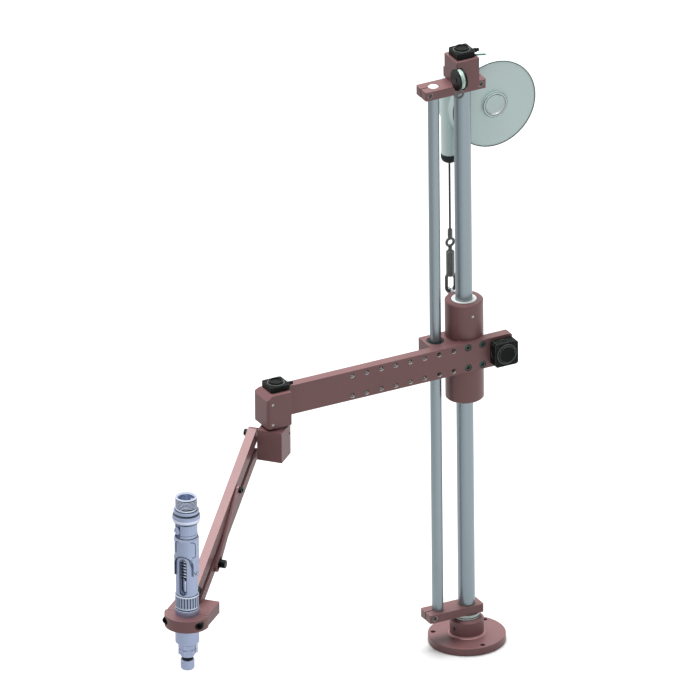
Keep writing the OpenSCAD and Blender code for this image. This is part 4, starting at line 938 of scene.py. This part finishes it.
# Body, place of the foot, side, height and the cap's radius
sensors = {
    "swing": ("swing_frame", moved(0, 0, 1137), 35.5, 12, 14),
    "elbow": ("carriage", moved(elbow_x, elbow_y, 597), 38, 10.5, 14),
    "travel": ("carriage", moved(51.5, bar_front, bar_middle) @ rotated(90, "X"), 45, 20, 17.5),
}
for name, (body, place, side, height, cap_r) in sensors.items():
    # The corner screws keep to the lid's size: their place and their heads follow its side
    corner = side / 2 - 1.7 * side / 14
    head = side / 14 * 0.54
    corners = [(x * corner, y * corner, height - 1.9) for x in (-1, 1) for y in (-1, 1)]
    screws = set_pieces(
        name + "_lid_screws",
        socket_screw(head, 1.4, head * 0.5, 1),
        "black_oxide",
        [(place, at, upward) for at in corners],
    )
    dressed(screws, "sensor_black", body)
    ring = turned(
        name + "_lid_ring",
        [(cap_r, 0), (cap_r + 1.3, 0), (cap_r + 1.3, 0.5)]
        + [(cap_r + 1.0, 0.8), (cap_r + 0.2, 0.8), (cap_r - 0.1, 0.5)],
        steps=96,
    )
    # The ring is a painted highlight in the lighter nylon
    coat(ring, "sensor_black_edge")
    dressed(in_metres(ring, place @ moved(0, 0, height)), "sensor_black", body)

pins = set_pieces(
    "swing_terminal_pins",
    turned("pin", [(0, 0), (0.8, 0), (0.8, 25), (0.5, 25.6), (0, 25.6)], steps=12),
    "sensor_black",
    [(as_built, (17.2, y, 1138.6), (1, 0.02, -0.2)) for y in (-9.5, -14)],
)
dressed(pins, "zinc", "swing_frame")


# The balancer's wire rope and its moulded stop

rope_foot, rope_length, core_steps = moved(0, rope_y, 763.5), 251.0, 40
strands = wound(
    "strands",
    "wire_rope",
    rope_foot,
    strands=6,
    turns=15.5,
    lay_radius=1.32,
    height=rope_length,
    wire_radius=0.67,
    steps=16,
    sides=7,
)
core_sides = [(1.0, i * rope_length / core_steps) for i in range(core_steps + 1)]
core = coat(turned("core", [(0, 0)] + core_sides + [(0, rope_length)], steps=8), "wire_rope")
rope = joined("stranded_wire_rope", [strands, in_metres(core, rope_foot)])
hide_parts("balancer_cable")
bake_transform(rope)

stop = turned(
    "moulded_cable_stop",
    [(14.6, -4.6), (15.0, -4.6), (15.3, -3.8), (15.2, 1.5), (14.8, 4.5)]
    + arc((4.6, 4.5), (9.9, 7.6), range(10, 81, 10))
    + [(4.4, 12.3), (4.2, 13.7), (3.6, 14), (2.2, 14), (2.2, 0), (14.6, 0)],
)
dressed(
    in_metres(stop, moved(0, rope_y, 921) @ rotated(180, "X")),
    "rubber_black",
    "swing_frame",
    "cable_stop",
)


# The tool: air inlet with its thread, collar, knurled ring, mode knob, plunger and spring

inlet_z = 524
inlet = turned(
    "inlet",
    [(14.5, 0), (19.5, 0), (19.5, 1.4), (18.6, 2.2), (18.6, 20.6), (19.6, 21.6)]
    + [(18.9, 23), (16.4, 23), (14.5, 20.4)],
    steps=96,
)
coat(inlet, "tool_steel_edge", "black_oxide")
for face in inlet.data.polygons:
    # The neck under the thread is painted dark, as shade between the thread's turns
    if 2 < face.center.z < 21 and face.center.xy.length > 18:
        face.material_index = 1
thread = wound(
    "thread",
    "tool_steel_edge",
    moved(0, 0, 3.2),
    strands=1,
    turns=6.4,
    lay_radius=18.7,
    height=16.6,
    wire_radius=0.72,
    steps=72,
    sides=6,
)
# Back to millimetres, like the inlet that it joins
thread.data.transform(Matrix.Scale(1 / MM, 4))
port = turned("port", [(1.6, 0), (3, 0), (3, 41), (2.7, 41.4), (1.8, 41.4), (1.6, 41.2)], steps=32)
coat(port, "tool_steel_edge").data.transform(rotated(110, "Z") @ moved(11, 0, -23))
inlet_piece = joined("threaded_air_inlet", [inlet, thread, port])
dressed(
    in_metres(inlet_piece, tool @ moved(0, 0, inlet_z)), "tool_steel", "tool_head", "tool_fittings"
)

# A dark line of sealant shows at each joint of the tool's turned parts, at a height and a radius
joints = ((264.2, 19.4), (332.4, 20.4), (359.4, 19.8), (471.3, 20.2), (477.0, 19.6))
joints += ((496.8, 19.8), (523.3, 19.9))
joint_lines = []
for height, radius in joints:
    inner, crest = radius - 1.2, radius + 0.25
    line = turned("line", [(inner, 0), (radius, 0), (crest, 0.3), (radius, 0.6), (inner, 0.6)])
    line.data.transform(moved(0, 0, height))
    joint_lines.append(coat(line, "rubber_black"))
dressed(in_metres(joined("tool_joint_lines", joint_lines), tool), "tool_steel", "tool_head")


def scribed(radius, half_width, corners, closed=False, steps=5):
    """A scribed line, blued dark, on a turned part of the tool, through (degrees, height)
    corners that are rounded over a third of the way to their neighbours."""
    flat = [Vector((math.radians(a) * radius, z)) for a, z in corners]
    path = []
    for i, corner in enumerate(flat):
        before, after = flat[i - 1], flat[(i + 1) % len(flat)]
        if not closed and i in (0, len(flat) - 1):
            path.append(corner)
            continue
        reach = min((before - corner).length, (after - corner).length) / 3
        start = corner + (before - corner).normalized() * reach
        end = corner + (after - corner).normalized() * reach
        shares = [k / steps for k in range(steps + 1)]
        path += [start * (1 - t) ** 2 + corner * 2 * t * (1 - t) + end * t * t for t in shares]
    sunk, proud = radius - 0.3, radius + 0.1
    shape = bmesh.new()
    rings = []
    for i, point in enumerate(path):
        before = path[i - 1] if i or closed else point
        after = path[(i + 1) % len(path)] if i + 1 < len(path) or closed else point
        along = (after - before).normalized()
        across = Vector((-along.y, along.x)) * half_width
        ring = []
        for side, r in ((1, sunk), (1, proud), (-1, proud), (-1, sunk)):
            at = point + across * side
            turn = at.x / radius
            ring.append(shape.verts.new((r * math.cos(turn), r * math.sin(turn), at.y)))
        rings.append(ring)
    for low, high in zip(rings, rings[1:] + (rings[:1] if closed else [])):
        for i in range(4):
            shape.faces.new([low[i], low[(i + 1) % 4], high[(i + 1) % 4], high[i]])
    if not closed:
        shape.faces.new(rings[0])
        shape.faces.new(rings[-1])
    bmesh.ops.recalc_face_normals(shape, faces=shape.faces)
    return coat(softened(put_in_scene("scribed", shape)), "blued_steel")


# The shell's arch, its tongue and its panel, and the window in the body
shell_surface, body_surface = 22.15, 19.6
arch_top = [
    (math.degrees(math.asin(x / shell_surface)), z)
    for x, z in arc((0, 420.3), (17.4, 17.4), range(170, 5, -16))
]
arch = [(-52, 399), (-52, 421)] + arch_top + [(52, 416), (52, 399)]
window = [(-19, 366), (-19, 428), (0, 433.5), (19, 428), (19, 366), (0, 361.5)]
scribed_lines = [
    scribed(shell_surface, 0.75, arch),
    scribed(shell_surface, 0.75, [(28, 436), (61, 404), (68, 400.5), (76, 404), (44, 433)]),
    scribed(shell_surface, 0.75, [(-40, 444), (-40, 466), (66, 466), (66, 436), (46, 436)]),
    scribed(body_surface, 0.6, window, closed=True),
]
dressed(in_metres(joined("tool_scribed_lines", scribed_lines), tool), "tool_steel", "tool_head")

# The balancer's lids close on dark gaskets, and the hub's rim has a dark outline
hub_front = -14.5
gaskets = []
for depth, width in ((20.05, 0.7), (80.05, 1.7)):
    gasket = coat(flat_ring("gasket", 80.2, 81.65, width, steps=160), "rubber_black")
    gasket.data.transform(moved(0, 0, -depth))
    gaskets.append(gasket)
for radius, sunk in ((19.5, 0.2), (23.3, 1.2)):
    outline = coat(flat_ring("outline", radius, radius + 0.7, 0.4), "rubber_black")
    outline.data.transform(moved(0, 0, hub_front - sunk))
    gaskets.append(outline)
dressed(in_metres(joined("balancer_gaskets", gaskets), hub_axis), "case_white", "swing_frame")

# The sleeve's wiper seal sits in a dark lip
seal_lip = flat_ring("seal_lip", 22.5, 23.3, 0.2)
dressed(in_metres(seal_lip, moved(0, 0, 663.9)), "rubber_black", "carriage")

collar = turned(
    "collar",
    [(19.6, 0), (20.4, 0), (20.8, 0.6)]
    + arc((20.6, 10.6), (4.3, 9.4), range(-75, 61, 15))
    + [(21.1, 19.4), (21.2, 20.4), (22.4, 20.8), (22.5, 21.2)]
    + [(22.5, 25.2), (21.8, 26), (19.6, 26)],
    steps=96,
)
in_metres(coat(collar, "tool_steel"), tool @ moved(0, 0, 497))
# Painted shade at the collar's foot and in its crease, and a painted highlight on a band of its
# bulge
recoated(collar, "blued_steel", lambda at, facing: at.z < 500.5 or 514 < at.z < 517.9)
recoated(collar, "tool_steel_edge", lambda at, facing: 503.5 < at.z < 508.5)
dressed(collar, "tool_steel", "tool_head")

knurled = turned(
    "knurled_ring",
    [(19.6, 0), (20.2, 0), (20.9, 0.7), (20.9, 2.2), (20.9, 3, "fluted"), (20.9, 22, "fluted")]
    + [(20.9, 22.8), (20.9, 24.3), (20.2, 25), (19.6, 25)],
    steps=192,
    flutes=24,
    depth=1.1,
)
# Painted shade in the knurl's valleys; its crests keep the plain steel, its ends the lighter
# steel's painted highlight
in_metres(coat(knurled, "blued_steel"), tool @ moved(0, 0, 334))
flutes_low, flutes_high, crest_r = 336.6, 356.4, 20.4
recoated(knurled, "tool_steel_edge", lambda at, facing: not flutes_low < at.z < flutes_high)
recoated(
    knurled,
    "tool_steel",
    lambda at, facing: flutes_low < at.z < flutes_high and at.xy.length > crest_r,
    tool,
)
dressed(knurled, "tool_steel", "tool_head")

knob = turned(
    "mode_knob",
    [(0, 0), (7.0, 0), (7.8, 0.6), (7.8, 3.4), (7.3, 4.0), (5.8, 6.0), (4.6, 6.0), (4.2, 5.2)]
    + [(0, 5.2)],
    steps=64,
)
knob_place = tool @ rotated(-40, "Z") @ moved(15.5, 0, 484) @ rotated(90, "Y")
dressed(in_metres(knob, knob_place), "tool_steel", "tool_head")

plunger = turned("plunger", [(0, 0), (9, 0), (9, 31.4), (8.2, 32.8), (7, 33), (0, 33)])
coat(plunger, "tool_steel_edge")
dressed(in_metres(plunger, tool @ moved(0, 0, 353)), "tool_steel", "tool_head")

coil = wound(
    "window_spring",
    "spring_steel",
    tool @ moved(0, 0, 387.9),
    strands=1,
    turns=7.0,
    lay_radius=8.8,
    height=41.0,
    wire_radius=1.6,
    steps=28,
    sides=12,
)
dressed(coil, "spring_steel", "tool_head", "return_spring")


# Floor, light and camera


def lit_apart(tree, output, lighting, shown, mirrored=1.0):
    """Ends a tree with two shaders: shown is what the camera, glass and, by a share, mirrors
    see, and lighting is what falls on the object."""
    path = add(tree, "ShaderNodeLightPath").outputs
    glossy = add(
        tree, "ShaderNodeMath", {0: mirrored, 1: path["Is Glossy Ray"]}, operation="MULTIPLY"
    )
    seen = add(
        tree,
        "ShaderNodeMath",
        {0: path["Is Camera Ray"], 1: glossy.outputs[0]},
        operation="MAXIMUM",
    )
    seen = add(
        tree,
        "ShaderNodeMath",
        {0: seen.outputs[0], 1: path["Is Transmission Ray"]},
        operation="MAXIMUM",
    )
    mixed = add(
        tree,
        "ShaderNodeMixShader",
        {0: seen.outputs[0], 1: lighting.outputs[0], 2: shown.outputs[0]},
    )
    add(tree, output, {"Surface": mixed.outputs[0]})


def pale_floor():
    """A wide floor that is white to the camera, keeps the object's shadow and throws less light
    back than it shows. Metal mirrors it brighter at the photo's right than at its left."""
    shape = bmesh.new()
    bmesh.ops.create_grid(shape, x_segments=1, y_segments=1, size=30)
    obj = put_in_scene("floor", shape)
    material = bpy.data.materials.new("pale_floor")
    tree = cleared_tree(material)
    place = add(tree, "ShaderNodeTexCoord").outputs["Object"]
    photo_right = (0.885, -0.465, 0)
    across = add(tree, "ShaderNodeVectorMath", {0: place, 1: photo_right}, operation="DOT_PRODUCT")
    sheen = add(
        tree,
        "ShaderNodeMapRange",
        {
            "Value": across.outputs["Value"],
            "From Min": -1.6,
            "From Max": 0.3,
            "To Min": 0.12,
            "To Max": 0.95,
        },
    )
    dull = add(tree, "ShaderNodeBsdfDiffuse", {"Color": linear("a0a0a0")})
    bright = add(tree, "ShaderNodeBsdfDiffuse", {"Color": linear("dadada")})
    lit_apart(tree, "ShaderNodeOutputMaterial", dull, bright, sheen.outputs[0])
    obj.data.materials.append(material)
    just_below = Vector((0, 0, -0.5)) * MM
    obj.data.transform(Matrix.Translation(just_below))
    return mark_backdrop(obj)


def direction(azimuth, elevation):
    """The unit vector toward an azimuth and an elevation, in degrees, from the front at 0."""
    turn, rise = math.radians(azimuth), math.radians(elevation)
    return Vector(
        (math.sin(turn) * math.cos(rise), -math.cos(turn) * math.cos(rise), math.sin(rise))
    )


def soft_sun(name, azimuth, elevation, strength, spread):
    """A far light of a wide angle, so that the whole floor gets the same."""
    lamp = bpy.data.lights.new(name, "SUN")
    lamp.energy = strength
    lamp.angle = math.radians(spread)
    obj = in_scene(name, lamp)
    obj.rotation_euler = direction(azimuth, elevation).to_track_quat("Z", "Y").to_euler()


def studio():
    """A white room that lights the object less than it shows, and one sun high behind it."""
    world = bpy.data.worlds.new("studio")
    bpy.context.scene.world = world
    tree = cleared_tree(world)
    ambient = add(tree, "ShaderNodeBackground", {"Color": linear("ffffff"), "Strength": 0.42})
    white = add(tree, "ShaderNodeBackground", {"Color": linear("ffffff"), "Strength": 1.0})
    lit_apart(tree, "ShaderNodeOutputWorld", ambient, white)
    soft_sun("overhead", azimuth=168, elevation=79, strength=4.9, spread=40)
    bpy.context.scene.view_settings.view_transform = "Standard"


def photo_camera():
    """A parallel camera at the photograph's angle, rolled by half a degree."""
    photo_pixels, pixel_mm, distance = 700, 1.75, 5
    target = Vector((-226, 0, 616)) * MM
    back = direction(-27.7, 26.0)
    roll = math.radians(-0.5)
    data = bpy.data.cameras.new("photo_camera")
    data.type = "ORTHO"
    data.ortho_scale = photo_pixels * pixel_mm * MM
    data.clip_end = 20
    camera = in_scene("photo_camera", data)
    camera.rotation_mode = "QUATERNION"
    camera.location = target + back * distance
    camera.rotation_quaternion = (-back).to_track_quat("-Z", "Y") @ Quaternion((0, 0, 1), roll)
    bpy.context.scene.camera = camera


pale_floor()
studio()
photo_camera()
